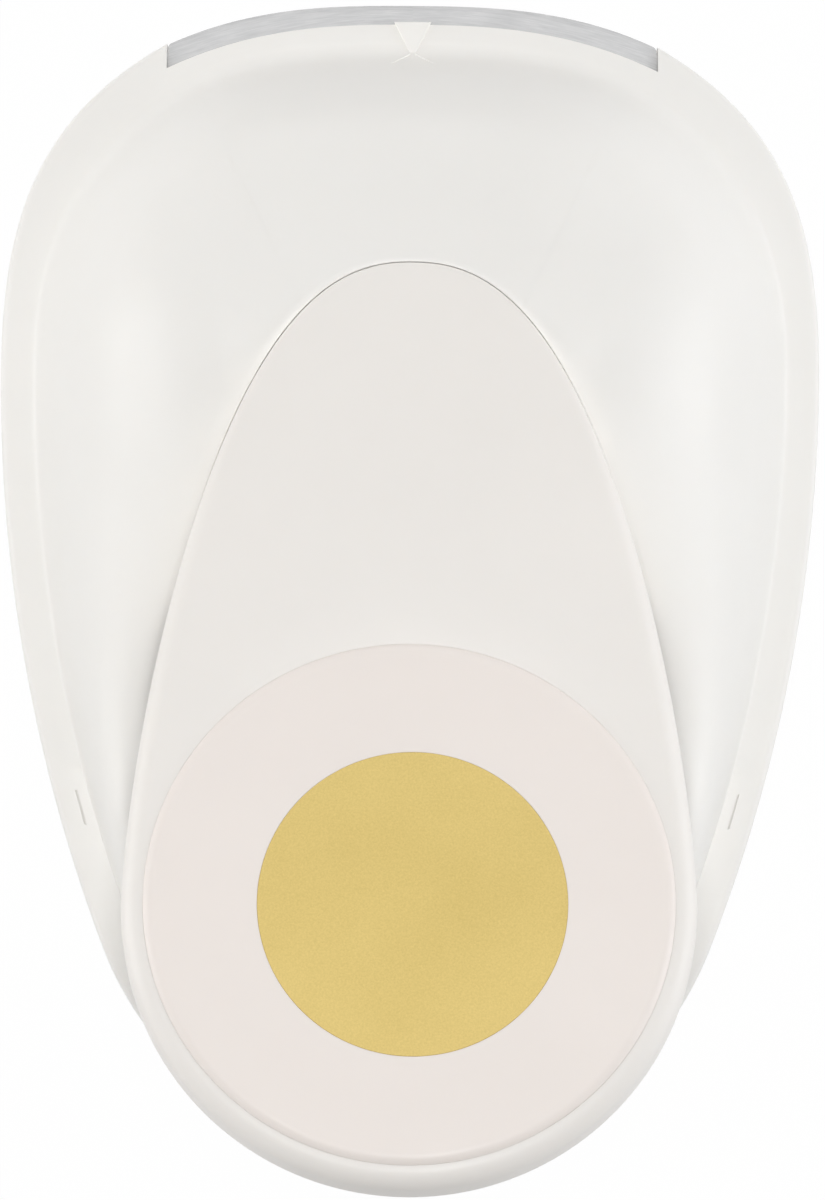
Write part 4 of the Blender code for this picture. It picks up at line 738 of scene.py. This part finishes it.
def mark_wedge(shape):
    """The raised wedge on the lip that points to the middle of the cut."""
    reach = LIP_SETBACK - CENTRE_MARK_OVERHANG
    rear = MOUTH_Y + FLANGE_FRONT_WIDTH
    low, high = lip_height(reach), lip_height(FLANGE_FRONT_WIDTH)
    level = mix(low, high, CENTRE_MARK_LEVEL)
    foot = FLANGE_BOTTOM + FIT_GAP
    top = (CENTRE_MARK_BREAK, level + CENTRE_MARK_RISE, high + CENTRE_MARK_RISE)
    rings = []
    for inset, near, far in ((0.0, foot, foot), (0.0, level, high), top):
        wide = CENTRE_MARK_WIDTH / 2 - inset
        tip = CENTRE_MARK_TIP / 2 - inset / 2
        ahead = MOUTH_Y + reach + inset / 2
        rings.append([(-wide, ahead, near), (wide, ahead, near), (tip, rear, far), (-tip, rear, far)])
    skin(shape, rings)


def mark_bars(shape):
    """Two fine ribs that spread up the wall from the wedge's tip."""
    across, back = CENTRE_BAR_REACH
    profile = wall_profile(MOUTH_Y)
    for side in (-1, 1):
        run = Vector((side * across, back, back)).normalized()
        level = run.cross(Vector((0, 0, 1))).normalized()
        up = level.cross(run)
        rings = []
        for i in range(BAR_STEPS + 1):
            share = i / BAR_STEPS
            inset = FLANGE_FRONT_WIDTH + back * share
            after = next(k for k, (reach, _) in enumerate(profile) if reach > inset)
            (low, foot), (high, top) = profile[after - 1], profile[after]
            height = mix(foot, top, (inset - low) / (high - low))
            centre = Vector((side * (2 * CENTRE_BAR_RADIUS + across * share), MOUTH_Y + inset, height))
            radius = CENTRE_BAR_RADIUS * (1 - CENTRE_BAR_TAPER_SHARE * share)
            rings.append(round_ring(centre, level, up, radius, BAR_SIDES))
        skin(shape, rings)


def along_body(shape, low_inset, high_inset, bottom, top, side):
    """A short block that follows the body's long side at the snap hooks."""
    middle = TAIL_Y - SNAP_SLOT_FROM_TAIL
    places = [middle + SNAP_SLOT_LENGTH * (i / SNAP_STEPS - 1 / 2) for i in range(SNAP_STEPS + 1)]
    outline = [(body_half_width(y) - low_inset, y) for y in places]
    outline += [(body_half_width(y) - high_inset, y) for y in reversed(places)]
    if side < 0:
        outline = [(-x, y) for x, y in reversed(outline)]
    prism(shape, outline, bottom, top)


def slots_tool(shape):
    low = SNAP_SLOT_INSET - SNAP_SLOT_WIDTH / 2
    rise = (SNAP_SLOT_INSET - FLANGE_EDGE) / (FLANGE_SIDE_WIDTH - FLANGE_EDGE)
    floor = FLANGE_HEIGHT - FLANGE_SIDE_FALL * (1 - rise) - SNAP_SLOT_DEPTH
    for side in (-1, 1):
        along_body(shape, low, low + SNAP_SLOT_WIDTH, floor, FLANGE_HEIGHT + OVERRUN, side)


# Materials

def linear(*srgb):
    """The linear colour of an sRGB one given as 0 to 255."""
    return tuple(((c / 255 + 0.055) / 1.055) ** 2.4 if c > 10 else c / 255 / 12.92 for c in srgb)


class Nodes:
    """A short way to write the nodes of a material or of the world."""

    def __init__(self, owner):
        owner.use_nodes = True
        self.owner = owner
        self.tree = owner.node_tree

    def feed(self, socket, value):
        """Gives an input a plain value or the output of another node."""
        if isinstance(value, bpy.types.NodeSocket):
            self.tree.links.new(value, socket)
        else:
            socket.default_value = value

    def fill(self, node, **values):
        for key, value in values.items():
            self.feed(node.inputs[key.replace("_", " ")], value)
        return node

    def add(self, kind, **values):
        return self.fill(self.tree.nodes.new(kind), **values)

    def calc(self, operation, *values):
        node = self.add("ShaderNodeMath")
        node.operation = operation
        for socket, value in zip(node.inputs, values):
            self.feed(socket, value)
        return node.outputs[0]

    def place(self):
        return self.add("ShaderNodeTexCoord").outputs["Object"]

    def noise(self, scale, detail, roughness, vector=None):
        vector = vector or self.place()
        node = self.add("ShaderNodeTexNoise", Vector=vector, Scale=scale, Detail=detail, Roughness=roughness)
        return node.outputs["Fac"]

    def ramp(self, value, *stops):
        node = self.add("ShaderNodeValToRGB", Fac=value)
        for element, (place, colour) in zip(node.color_ramp.elements, stops):
            element.position = place
            element.color = (*colour, 1.0)
        return node.outputs["Color"]

    def span(self, value, low, high):
        """The usual range of a noise laid over another one."""
        node = self.add("ShaderNodeMapRange", Value=value, To_Min=low, To_Max=high)
        self.fill(node, From_Min=NOISE_RANGE[0], From_Max=NOISE_RANGE[1])
        return node.outputs["Result"]

    def bump(self, height, strength, distance, **normal):
        node = self.add("ShaderNodeBump", Height=height, Strength=strength, Distance=distance, **normal)
        return node.outputs["Normal"]

    def dressed(self, **values):
        """The material with these inputs on its shader."""
        self.fill(self.tree.nodes["Principled BSDF"], **values)
        return self.owner


def plastic(colour, uneven, roughness):
    """Moulded plastic: a slightly uneven colour, faint flow marks and a fine spark-eroded grain."""
    nodes = Nodes(bpy.data.materials.new("look"))
    broad = nodes.noise(28.0, 4.0, 0.6)
    patch = nodes.noise(90.0, 3.0, 0.55)
    fine = nodes.noise(5200.0, 2.0, 0.6)
    flow = nodes.bump(nodes.noise(120.0, 2.0, 0.5), 0.12, FLOW_MARK_DEPTH)
    return nodes.dressed(
        Base_Color=nodes.ramp(broad, (0.3, linear(*(c - uneven for c in colour))), (0.7, linear(*colour))),
        Roughness=nodes.span(patch, roughness - 0.05, roughness + 0.06),
        Normal=nodes.bump(fine, 0.35, GRAIN_DEPTH, Normal=flow),
        Specular_IOR_Level=0.42,
        Subsurface_Weight=0.06,
        Subsurface_Radius=(0.004, 0.0035, 0.003),
        Subsurface_Scale=0.4,
    )


def metal(srgb, roughness, brush):
    """Metal with fine lines along one axis and a slightly uneven gloss."""
    nodes = Nodes(bpy.data.materials.new("look"))
    scaled = nodes.add("ShaderNodeMapping", Vector=nodes.place(), Scale=brush)
    lines = nodes.noise(1.6, 4.0, 0.65, scaled.outputs["Vector"])
    blot = nodes.noise(160.0, 3.0, 0.6)
    colour = linear(*srgb)
    dark = tuple(c * 0.78 for c in colour)
    return nodes.dressed(
        Metallic=1.0,
        Base_Color=nodes.ramp(lines, (0.3, dark), (0.7, colour)),
        Roughness=nodes.span(blot, roughness - 0.06, roughness + 0.08),
        Normal=nodes.bump(lines, 0.25, GRAIN_DEPTH),
    )


def plate_metal():
    """Ground plate steel: its lines run along the mouth's bow."""
    nodes = Nodes(bpy.data.materials.new("look"))
    split = nodes.add("ShaderNodeSeparateXYZ", Vector=nodes.place()).outputs
    away = nodes.calc("SUBTRACT", split["Y"], MOUTH_Y + MOUTH_ARC_RADIUS)
    reach = nodes.add("ShaderNodeVectorMath")
    reach.operation = "LENGTH"
    nodes.feed(reach.inputs[0], nodes.add("ShaderNodeCombineXYZ", X=split["X"], Y=away).outputs[0])
    turn = nodes.calc("MULTIPLY", nodes.calc("ARCTAN2", split["X"], away), GRIND_LINE_REACH)
    polar = nodes.add("ShaderNodeCombineXYZ", X=reach.outputs["Value"], Y=turn, Z=split["Z"])
    lines = nodes.noise(5200.0, 4.0, 0.7, polar.outputs[0])
    blot = nodes.noise(220.0, 3.0, 0.6)
    return nodes.dressed(
        Metallic=1.0,
        Base_Color=nodes.ramp(lines, (0.25, linear(172, 172, 173)), (0.75, linear(195, 195, 195))),
        Roughness=nodes.span(blot, 0.54, 0.62),
        Normal=nodes.bump(lines, 0.3, GRAIN_DEPTH),
    )


def foil():
    """Matt gold foil with a fine grain of tiny dents."""
    nodes = Nodes(bpy.data.materials.new("look"))
    grain = nodes.noise(4200.0, 3.0, 0.65)
    both = nodes.calc("MULTIPLY_ADD", nodes.noise(70.0, 3.0, 0.5), 0.35, grain)
    return nodes.dressed(
        Metallic=0.35,
        Base_Color=nodes.ramp(both, (0.4, linear(196, 172, 99)), (0.95, linear(217, 193, 121))),
        Roughness=nodes.span(grain, 0.42, 0.58),
        Normal=nodes.bump(grain, 0.3, FOIL_DENT_DEPTH),
    )


LOOKS = {
    "white_plastic": plastic((241, 239, 235), 3, 0.4),
    "lever_plastic": plastic((241, 237, 232), 3, 0.42),
    "pad_plastic": plastic((242, 234, 228), 3, 0.42),
    "base_plastic": plastic((233, 230, 225), 4, 0.5),
    "plate_steel": plate_metal(),
    "cutter_steel": metal((198, 200, 202), 0.26, (900.0, 40.0, 900.0)),
    "frame_steel": metal((186, 188, 190), 0.36, (60.0, 900.0, 900.0)),
    "screw_steel": metal((172, 172, 174), 0.34, (700.0, 700.0, 90.0)),
    "spring_steel": metal((188, 188, 188), 0.3, (500.0, 500.0, 500.0)),
    "carrier_alloy": metal((204, 205, 206), 0.46, (260.0, 260.0, 260.0)),
    "gold_foil": foil(),
}
for look_name, look in LOOKS.items():
    look.name = f"{look_name}_look"


def dress_nodes():
    """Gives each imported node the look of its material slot."""
    slots = {part["node"]: part["material_slot"] for part in frame["record"]["subparts"]}
    for name, obj in frame["nodes"].items():
        for target in [obj, *obj.children_recursive]:
            if target.type == "MESH":
                for slot in target.material_slots:
                    slot.material = LOOKS[slots[name]]


# Pieces

def make_cover():
    mesh = mesh_from("cover_moulding", cover_shell)
    mesh = carved(mesh, (mouth_tool, CUT), (slots_tool, CUT), (mark_wedge, JOIN), (mark_bars, JOIN))
    piece("cover_moulding", mesh, "white_plastic", "housing", "upper_cover")


def lever_shell(shape):
    outline = mirrored(lever_half())
    inner = shrunk(outline, LEVER_WALL)
    centre = Vector((0.0, PAD_U))
    depths = [skirt_depth(u) for _, u in outline]
    recess = PAD_RADIUS + PAD_GROOVE
    bed = recess + LEVER_WALL / 2
    ceiling = LEVER_TOP - LEVER_WALL
    floor = LEVER_TOP - PAD_RECESS
    bed_low = floor - PAD_BED

    def toward(point, radius):
        return centre + (Vector(point) - centre).normalized() * radius

    def level(points, height):
        return [(*p, height) for p in points]

    bed_edge = [toward(p, min(bed, (Vector(p) - centre).length)) for p in inner]
    rings = [level([toward(p, bed / 2) for p in inner], bed_low), level(bed_edge, bed_low)]
    for share in (0.0, 0.3, 0.65, 1.0):
        rings.append(level([start.lerp(Vector(p), share) for start, p in zip(bed_edge, inner)], ceiling))
    hem = ((LEVER_WALL, SKIRT_BREAK), (LEVER_WALL - SKIRT_BREAK, 0.0), (SKIRT_BREAK, 0.0), (0.0, SKIRT_BREAK))
    for setback, rise in hem:
        line = shrunk(outline, setback)
        rings.append([(*p, LEVER_TOP - depth + rise) for p, depth in zip(line, depths)])
    radii = [mix(NOSE_EDGE_RADIUS, LEVER_EDGE_RADIUS, ease(u - APEX_U, *EDGE_BLEND)) for _, u in outline]
    for turn in quarter(LEVER_EDGE_STEPS):
        edge = shrunk(outline, [r * (1 - math.cos(turn)) for r in radii])
        rings.append([(*p, LEVER_TOP - r * (1 - math.sin(turn))) for p, r in zip(edge, radii)])
    flat = shrunk(outline, radii)
    for share in (0.25, 0.5, 0.75):
        line = [Vector(p).lerp(toward(p, recess + PAD_GROOVE_DEPTH), share) for p in flat]
        rings.append(level(line, LEVER_TOP))
    steps = []
    for turn in quarter(EDGE_STEPS):
        reach = recess + PAD_GROOVE_DEPTH * (1 - math.sin(turn))
        steps.append((reach, LEVER_TOP - PAD_GROOVE_DEPTH * (1 - math.cos(turn))))
    edge = PAD_RADIUS + DISC_LINE
    steps += [(edge, LEVER_TOP - PAD_GROOVE_DEPTH), (edge, floor), (recess / 2, floor)]
    for reach, height in steps:
        rings.append(level([toward(p, reach) for p in flat], height))
    skin(shape, rings, first_tip=(*centre, bed_low), last_tip=(*centre, floor))
    shape.transform(LEVER_PLACE)


def make_lever():
    piece("lever_moulding", mesh_from("lever_moulding", lever_shell), "lever_plastic", "lever", "lever_shell")


def make_pad():
    top = PAD_RECESS + PAD_RISE - FIT_GAP
    seat = DISC_THICKNESS + FIT_GAP
    rim = DISC_RADIUS + DISC_LINE
    edge = DISC_EDGE
    profile = [(0.0, top - seat), (rim - edge, top - seat), (rim, top - seat + edge), (rim, top - edge)]
    profile += [(rim + edge, top), ((rim + PAD_RADIUS) / 2, top)]
    last = math.acos(1 - PAD_RISE / PAD_EDGE_RADIUS)
    for i in range(LEVER_EDGE_STEPS + 1):
        turn = last * i / LEVER_EDGE_STEPS
        reach = PAD_EDGE_RADIUS * (math.sin(last) - math.sin(turn))
        profile.append((PAD_RADIUS - reach, top - PAD_EDGE_RADIUS * (1 - math.cos(turn))))
    profile += [(PAD_RADIUS, edge), (PAD_RADIUS - edge, 0.0), (0.0, 0.0)]
    place = LEVER_PLACE @ Matrix.Translation((0, PAD_U, LEVER_TOP - PAD_RECESS + FIT_GAP))
    offset = Matrix.Translation((*DISC_OFFSET, 0))

    def cap(shape):
        turned(shape, profile, PAD_STEPS)
        for vert in shape.verts:
            if vert.co.z > 0 and vert.co.xy.length < rim + 2 * edge:
                vert.co = offset @ vert.co
        shape.transform(place)

    piece("thumb_pad", mesh_from("thumb_pad", cap), "pad_plastic", "lever", "pad_cap", slot="lever_plastic")
    disc = [(0.0, DISC_THICKNESS), (DISC_RADIUS / 2, DISC_THICKNESS), (DISC_RADIUS - edge, DISC_THICKNESS)]
    disc += [(DISC_RADIUS, DISC_THICKNESS - edge), (DISC_RADIUS, 0.0), (0.0, 0.0)]
    place = place @ offset @ Matrix.Translation((0, 0, top - DISC_THICKNESS))
    mesh = mesh_from("gold_disc", lambda shape: turned(shape, disc, PAD_STEPS, place))
    piece("gold_disc", mesh, "gold_foil", "lever", "size_disc")


def make_base():
    hollow_top = BASE_HEIGHT - BASE_DECK
    low = BOTTOM_PLATE + FIT_GAP
    high = hollow_top + FIT_GAP

    def outside(shape):
        rings = []
        for turn in quarter(EDGE_STEPS):
            rings.append(body_ring(BASE_EDGE * (1 - math.sin(turn)), BASE_EDGE * (1 - math.cos(turn))))
        rings.append(body_ring(0, BASE_HEIGHT - BASE_EDGE / 2))
        rings.append(body_ring(BASE_EDGE / 2, BASE_HEIGHT))
        skin(shape, rings)

    def hollow(shape):
        skin(shape, [body_ring(BASE_WALL, -OVERRUN), body_ring(BASE_WALL, hollow_top)])

    def bed(shape):
        reach = MOUTH_HALF_WIDTH + BASE_WALL
        corner = (-reach, MOUTH_Y - OVERRUN, DIE_BOTTOM - FIT_GAP - BASE_DECK)
        box(shape, corner, (reach, SPACER_END_Y + BASE_WALL, BASE_HEIGHT - FIT_GAP))

    def chute(shape):
        upright(shape, DIE_RADIUS + CHUTE_MARGIN + BASE_WALL, 0, CUTTER_Y, low, high, CHUTE_STEPS)

    def bosses(shape):
        uprights(shape, STACK_SCREWS, STACK_SCREW[0] + BOSS_WALL, low, high)
        uprights(shape, DIE_SCREWS + BOTTOM_SCREWS, SMALL_SCREW[0] + BOSS_WALL, low, high)
        uprights(shape, HOUSING_SCREWS, HEAD_HOLE + BOSS_WALL, low, high)

    def pocket(shape):
        corner = (-MOUTH_HALF_WIDTH, MOUTH_Y - OVERRUN, DIE_BOTTOM - FIT_GAP)
        box(shape, corner, (MOUTH_HALF_WIDTH, SPACER_END_Y + FIT_GAP, BASE_HEIGHT + OVERRUN))

    def holes(shape):
        over = BASE_HEIGHT + OVERRUN
        upright(shape, DIE_RADIUS + CHUTE_MARGIN, 0, CUTTER_Y, -OVERRUN, over, CHUTE_STEPS)
        uprights(shape, STACK_SCREWS, STACK_HOLE, DIE_BOTTOM / 2, BASE_HEIGHT)
        uprights(shape, DIE_SCREWS, SMALL_HOLE, DIE_BOTTOM / 2, BASE_HEIGHT)
        uprights(shape, BOTTOM_SCREWS, SMALL_HOLE, 0, hollow_top * 3 / 4)
        uprights(shape, HOUSING_SCREWS, HOUSING_SCREW[0] + FIT_GAP, BASE_WALL, over)

    def counterbores(shape):
        uprights(shape, HOUSING_SCREWS, HEAD_HOLE, -OVERRUN, SCREW_SEAT - FIT_GAP)

    def tabs(shape):
        inset = RIM_WALL + FIT_GAP
        top = FLANGE_BOTTOM - FIT_GAP
        for side in (-1, 1):
            along_body(shape, inset, inset + TAB_THICKNESS, BASE_HEIGHT - OVERRUN, top, side)

    cavity = carved(mesh_from("cavity", hollow), (bed, CUT), (chute, CUT), (bosses, CUT))
    base = mesh_from("base_moulding", outside)
    base = carved(base, (tabs, JOIN), (cavity, CUT), (pocket, CUT), (holes, CUT), (counterbores, CUT))
    piece("base_moulding", base, "base_plastic", "housing", "base_housing")


def sinks(shape, places, height, direction):
    """Cones that seat countersunk heads lying just inside a face."""
    shank, head, depth = SMALL_SCREW
    wide = head + FIT_GAP + OVERRUN
    narrow = shank + FIT_GAP
    for x, y in places:
        middle = height + direction * (depth - (wide - narrow) / 2)
        turn = Vector((0, 0, direction)).to_track_quat("Z", "Y").to_matrix().to_4x4()
        bmesh.ops.create_cone(
            shape, cap_ends=True, segments=ROUND_STEPS, radius1=wide, radius2=narrow, depth=wide - narrow,
            matrix=Matrix.Translation((x, y, middle)) @ turn,
        )


def make_bottom():
    inset = BASE_WALL + FIT_GAP
    levels = ((inset + BASE_EDGE / 2, 0), (inset, BASE_EDGE / 2), (inset, BOTTOM_PLATE))

    def holes(shape):
        high = BOTTOM_PLATE + OVERRUN
        upright(shape, DIE_RADIUS + BOTTOM_WINDOW_MARGIN, 0, CUTTER_Y, -OVERRUN, high, CHUTE_STEPS)
        uprights(shape, HOUSING_SCREWS, HEAD_HOLE, -OVERRUN, high)
        uprights(shape, BOTTOM_SCREWS, SMALL_HOLE, -OVERRUN, high)

    mesh = mesh_from("bottom_sheet", lambda shape: skin(shape, [body_ring(*level) for level in levels]))
    mesh = carved(mesh, (holes, CUT), (lambda shape: sinks(shape, BOTTOM_SCREWS, FIT_GAP, 1), CUT))
    piece("bottom_sheet", mesh, "base_plastic", "housing", "bottom_plate")


def rear_half(half_width, end):
    radius = PLATE_CORNER_RADIUS
    corner = arc((half_width - radius, end - radius), radius, 0, math.pi / 2, PLATE_CORNER_STEPS)
    return [*corner, (0.0, end)]


def steel_plate(name, half, bottom, top, groups, seats):
    """A plate with the cutter's hole, holes for groups of fasteners and seats for flat heads."""
    low = bottom - OVERRUN
    high = top + OVERRUN

    def holes(shape):
        upright(shape, DIE_RADIUS, 0, CUTTER_Y, low, high, DIE_STEPS)
        for places, radius in groups:
            uprights(shape, places, radius, low, high)

    mesh = mesh_from(name, lambda shape: prism(shape, mirrored(half), bottom, top))
    mesh = carved(mesh, (holes, CUT), (lambda shape: sinks(shape, *seats), CUT))
    return edged(mesh)


def make_plates():
    wide = MOUTH_HALF_WIDTH - PLATE_LINE
    half = mouth_line(0.0, wide, corner=MOUTH_CORNER) + rear_half(wide, SPACER_END_Y)
    groups = ((STACK_SCREWS, STACK_HOLE), (DIE_SCREWS, SMALL_HOLE))
    mesh = steel_plate("die_steel", half, DIE_BOTTOM, DIE_TOP, groups, (DIE_SCREWS, DIE_TOP - FIT_GAP, -1))
    piece("die_steel", mesh, "plate_steel", "housing", "die_plate")

    half = mouth_line(GUIDE_SETBACK, wide, corner=MOUTH_CORNER)
    half.append((wide, MOUTH_Y + GUIDE_NECK_FROM_MOUTH))
    half.append((GUIDE_WING_X, MOUTH_Y + GUIDE_WING_FROM_MOUTH))
    half += rear_half(GUIDE_WING_X, SPACER_END_Y)
    posts = (POSTS, POST_RADIUS + FIT_GAP)
    groups = ((STACK_SCREWS, STACK_HOLE), posts, (BRACKET_SCREWS + COVER_SCREWS, SMALL_HOLE))
    seats = (COVER_SCREWS, GUIDE_BOTTOM + FIT_GAP, 1)
    mesh = steel_plate("guide_steel", half, GUIDE_BOTTOM, GUIDE_TOP, groups, seats)
    piece("guide_steel", mesh, "plate_steel", "housing", "guide_plate")


def make_springs():
    """Each return spring is one round wire, coiled from the guide plate up to the slide."""
    radius = POST_RADIUS + SPRING_RUNNING_GAP + SPRING_WIRE
    low = GUIDE_TOP + FIT_GAP + SPRING_WIRE
    high = WING_BOTTOM - FIT_GAP - SPRING_WIRE
    count = SPRING_TURNS * SPRING_STEPS
    for name, (x, y) in zip(POST_NAMES, POSTS):
        centres = []
        for i in range(count + 1):
            turn = 2 * math.pi * i / SPRING_STEPS
            height = mix(low, high, i / count)
            centres.append(Vector((x + radius * math.cos(turn), y + radius * math.sin(turn), height)))

        def wire(shape):
            rings = []
            for i, centre in enumerate(centres):
                ahead = (centres[min(i + 1, count)] - centres[max(i - 1, 0)]).normalized()
                side = Vector((centre.x - x, centre.y - y, 0)).normalized()
                up = ahead.cross(side).normalized()
                rings.append(round_ring(centre, side, up, SPRING_WIRE, WIRE_SIDES))
            skin(shape, rings)

        mesh = mesh_from(f"spring_coil_{name}", wire, 60)
        coil = piece(f"spring_coil_{name}", mesh, "spring_steel", "housing", f"return_spring_{name}")
        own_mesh(coil)


def screw_mesh(name, kind, length, flat):
    """A screw whose head rests at zero and whose threaded shank runs down."""
    shank, head, height = kind
    start, top = (-height, 0.0) if flat else (0.0, height)
    if flat:
        profile = [(0.0, 0.0), (head * FLAT_RING_SHARE, 0.0), (head - BREAK, 0.0), (head, -BREAK)]
        profile.append((shank, -height))
    else:
        profile = [(0.0, height)] + [(head * out, height * up) for out, up in ROUND_HEAD_SHARES]
        profile += [(head, BREAK), (head - BREAK, 0.0), (shank, 0.0)]
    threads = max(2, round((length + start) / THREAD_PITCH) - 1)
    pitch = (length + start - shank) / threads
    for i in range(threads):
        profile += [(shank * out, start - pitch * (i + down)) for down, out in THREAD_SHARES]
    profile += [(shank * THREAD_ROOT_SHARE, shank - length), (0.0, -length)]
    mesh = mesh_from(name, lambda shape: turned(shape, profile, SCREW_STEPS))

    def recess(shape):
        floor = top - height * RECESS_DEPTH_SHARE
        if kind != STACK_SCREW:
            long, short = [head * share for share in CROSS_ARM_SHARES]
            arm = [(long, -short), (long, short), (short, short)]
            turns = [Matrix.Rotation(math.pi / 2 * i, 2) for i in range(4)]
            prism(shape, [tuple(turn @ Vector(p)) for turn in turns for p in arm], floor, top + BREAK)
        else:
            upright(shape, head * SOCKET_SHARE, 0, 0, floor, top + BREAK, 6)

    return carved(mesh, (recess, CUT), angle=35)


def make_screws():
    """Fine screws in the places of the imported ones, whose boxes say where they are and how long."""
    kinds = {
        "stack_screw": (STACK_SCREW, False, -1),
        "die_screw": (SMALL_SCREW, True, -1),
        "bracket_screw": (SMALL_SCREW, False, -1),
        "cutter_screw": (SMALL_SCREW, False, -1),
        "cover_screw": (SMALL_SCREW, True, 1),
        "housing_screw": (HOUSING_SCREW, False, 1),
        "bottom_screw": (SMALL_SCREW, True, 1),
    }
    made = {}
    for node in sorted(frame["nodes"]):
        group = next((kind for kind in kinds if node.startswith(kind)), None)
        if group is None:
            continue
        kind, flat, direction = kinds[group]
        low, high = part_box(node)
        head = 0 if flat else kind[2]
        if group not in made:
            made[group] = screw_mesh(group, kind, high[2] - low[2] - head, flat)
        mesh = made[group].copy()
        place = Vector((*middle_of(node), high[2] - head if direction < 0 else low[2] + head))
        spin = Matrix.Rotation(place.x * SCREW_SPIN[0] + place.y * SCREW_SPIN[1], 4, "Z")
        flip = Matrix.Identity(4) if direction < 0 else Matrix.Rotation(math.pi, 4, "X")
        mesh.transform(Matrix.Translation(place) @ flip @ spin)
        body = "cutter_block" if group == "cutter_screw" else "housing"
        piece(f"fine_{node}", mesh, "screw_steel", body, node)


# Stage, light and camera

def seen_directly(nodes):
    """One for rays from the camera, off a shiny face or through glass, and nought for all others."""
    path = nodes.add("ShaderNodeLightPath").outputs
    seen = nodes.calc("MAXIMUM", path["Is Camera Ray"], path["Is Glossy Ray"])
    return nodes.calc("MAXIMUM", seen, path["Is Transmission Ray"])


def show_blend(nodes, share, first, second, output):
    blend = nodes.add("ShaderNodeMixShader")
    for socket, source in zip(blend.inputs, (share, first.outputs[0], second.outputs[0])):
        nodes.feed(socket, source)
    nodes.feed(nodes.tree.nodes[output].inputs["Surface"], blend.outputs[0])


def make_stage():
    mesh = mesh_from("floor", lambda shape: box(shape, *FLOOR_BOX))
    floor = add_object("floor", mesh)
    nodes = Nodes(bpy.data.materials.new("floor_white"))
    mesh.materials.append(nodes.dressed(Base_Color=(0.9, 0.9, 0.9, 1), Roughness=0.9))
    light = nodes.add("ShaderNodeEmission", Color=(1, 1, 1, 1), Strength=1.0)
    share = nodes.calc("MULTIPLY", seen_directly(nodes), FLOOR_GLOW_SHARE)
    show_blend(nodes, share, nodes.tree.nodes["Principled BSDF"], light, "Material Output")


def make_world():
    world = bpy.data.worlds.new("studio")
    bpy.context.scene.world = world
    nodes = Nodes(world)
    dim = nodes.fill(nodes.tree.nodes["Background"], Color=(1, 1, 1, 1), Strength=WORLD_LIGHT)
    bright = nodes.add("ShaderNodeBackground", Strength=1.0)
    show_blend(nodes, seen_directly(nodes), dim, bright, "World Output")


def make_lights():
    for name, place, size, power, spread, colour in LAMPS:
        data = bpy.data.lights.new(name, "AREA")
        data.shape = "RECTANGLE"
        data.size, data.size_y = size
        data.energy = power
        data.spread = math.radians(spread)
        data.color = colour
        lamp = add_object(name, data)
        lamp.location = place
        lamp.rotation_euler = (-Vector(place)).to_track_quat("-Z", "Y").to_euler()


def make_camera():
    data = bpy.data.cameras.new("photo_camera")
    data.lens = CAMERA_LENS
    data.clip_start = 0.01
    camera = add_object("photo_camera", data)
    place = Vector(CAMERA_PLACE)
    ahead = (Vector(CAMERA_TARGET) - place).normalized()
    right = ahead.cross(Vector((0, -1, 0))).normalized()
    turn = Matrix((right, right.cross(ahead), -ahead)).transposed().to_4x4()
    camera.matrix_world = Matrix.Translation(place) @ turn @ Matrix.Rotation(CAMERA_ROLL, 4, "Z")
    bpy.context.scene.camera = camera


dress_nodes()
make_cover()
make_lever()
make_pad()
make_base()
make_bottom()
make_plates()
make_springs()
make_screws()
make_stage()
make_world()
make_lights()
make_camera()
bpy.context.scene.view_settings.view_transform = "Standard"
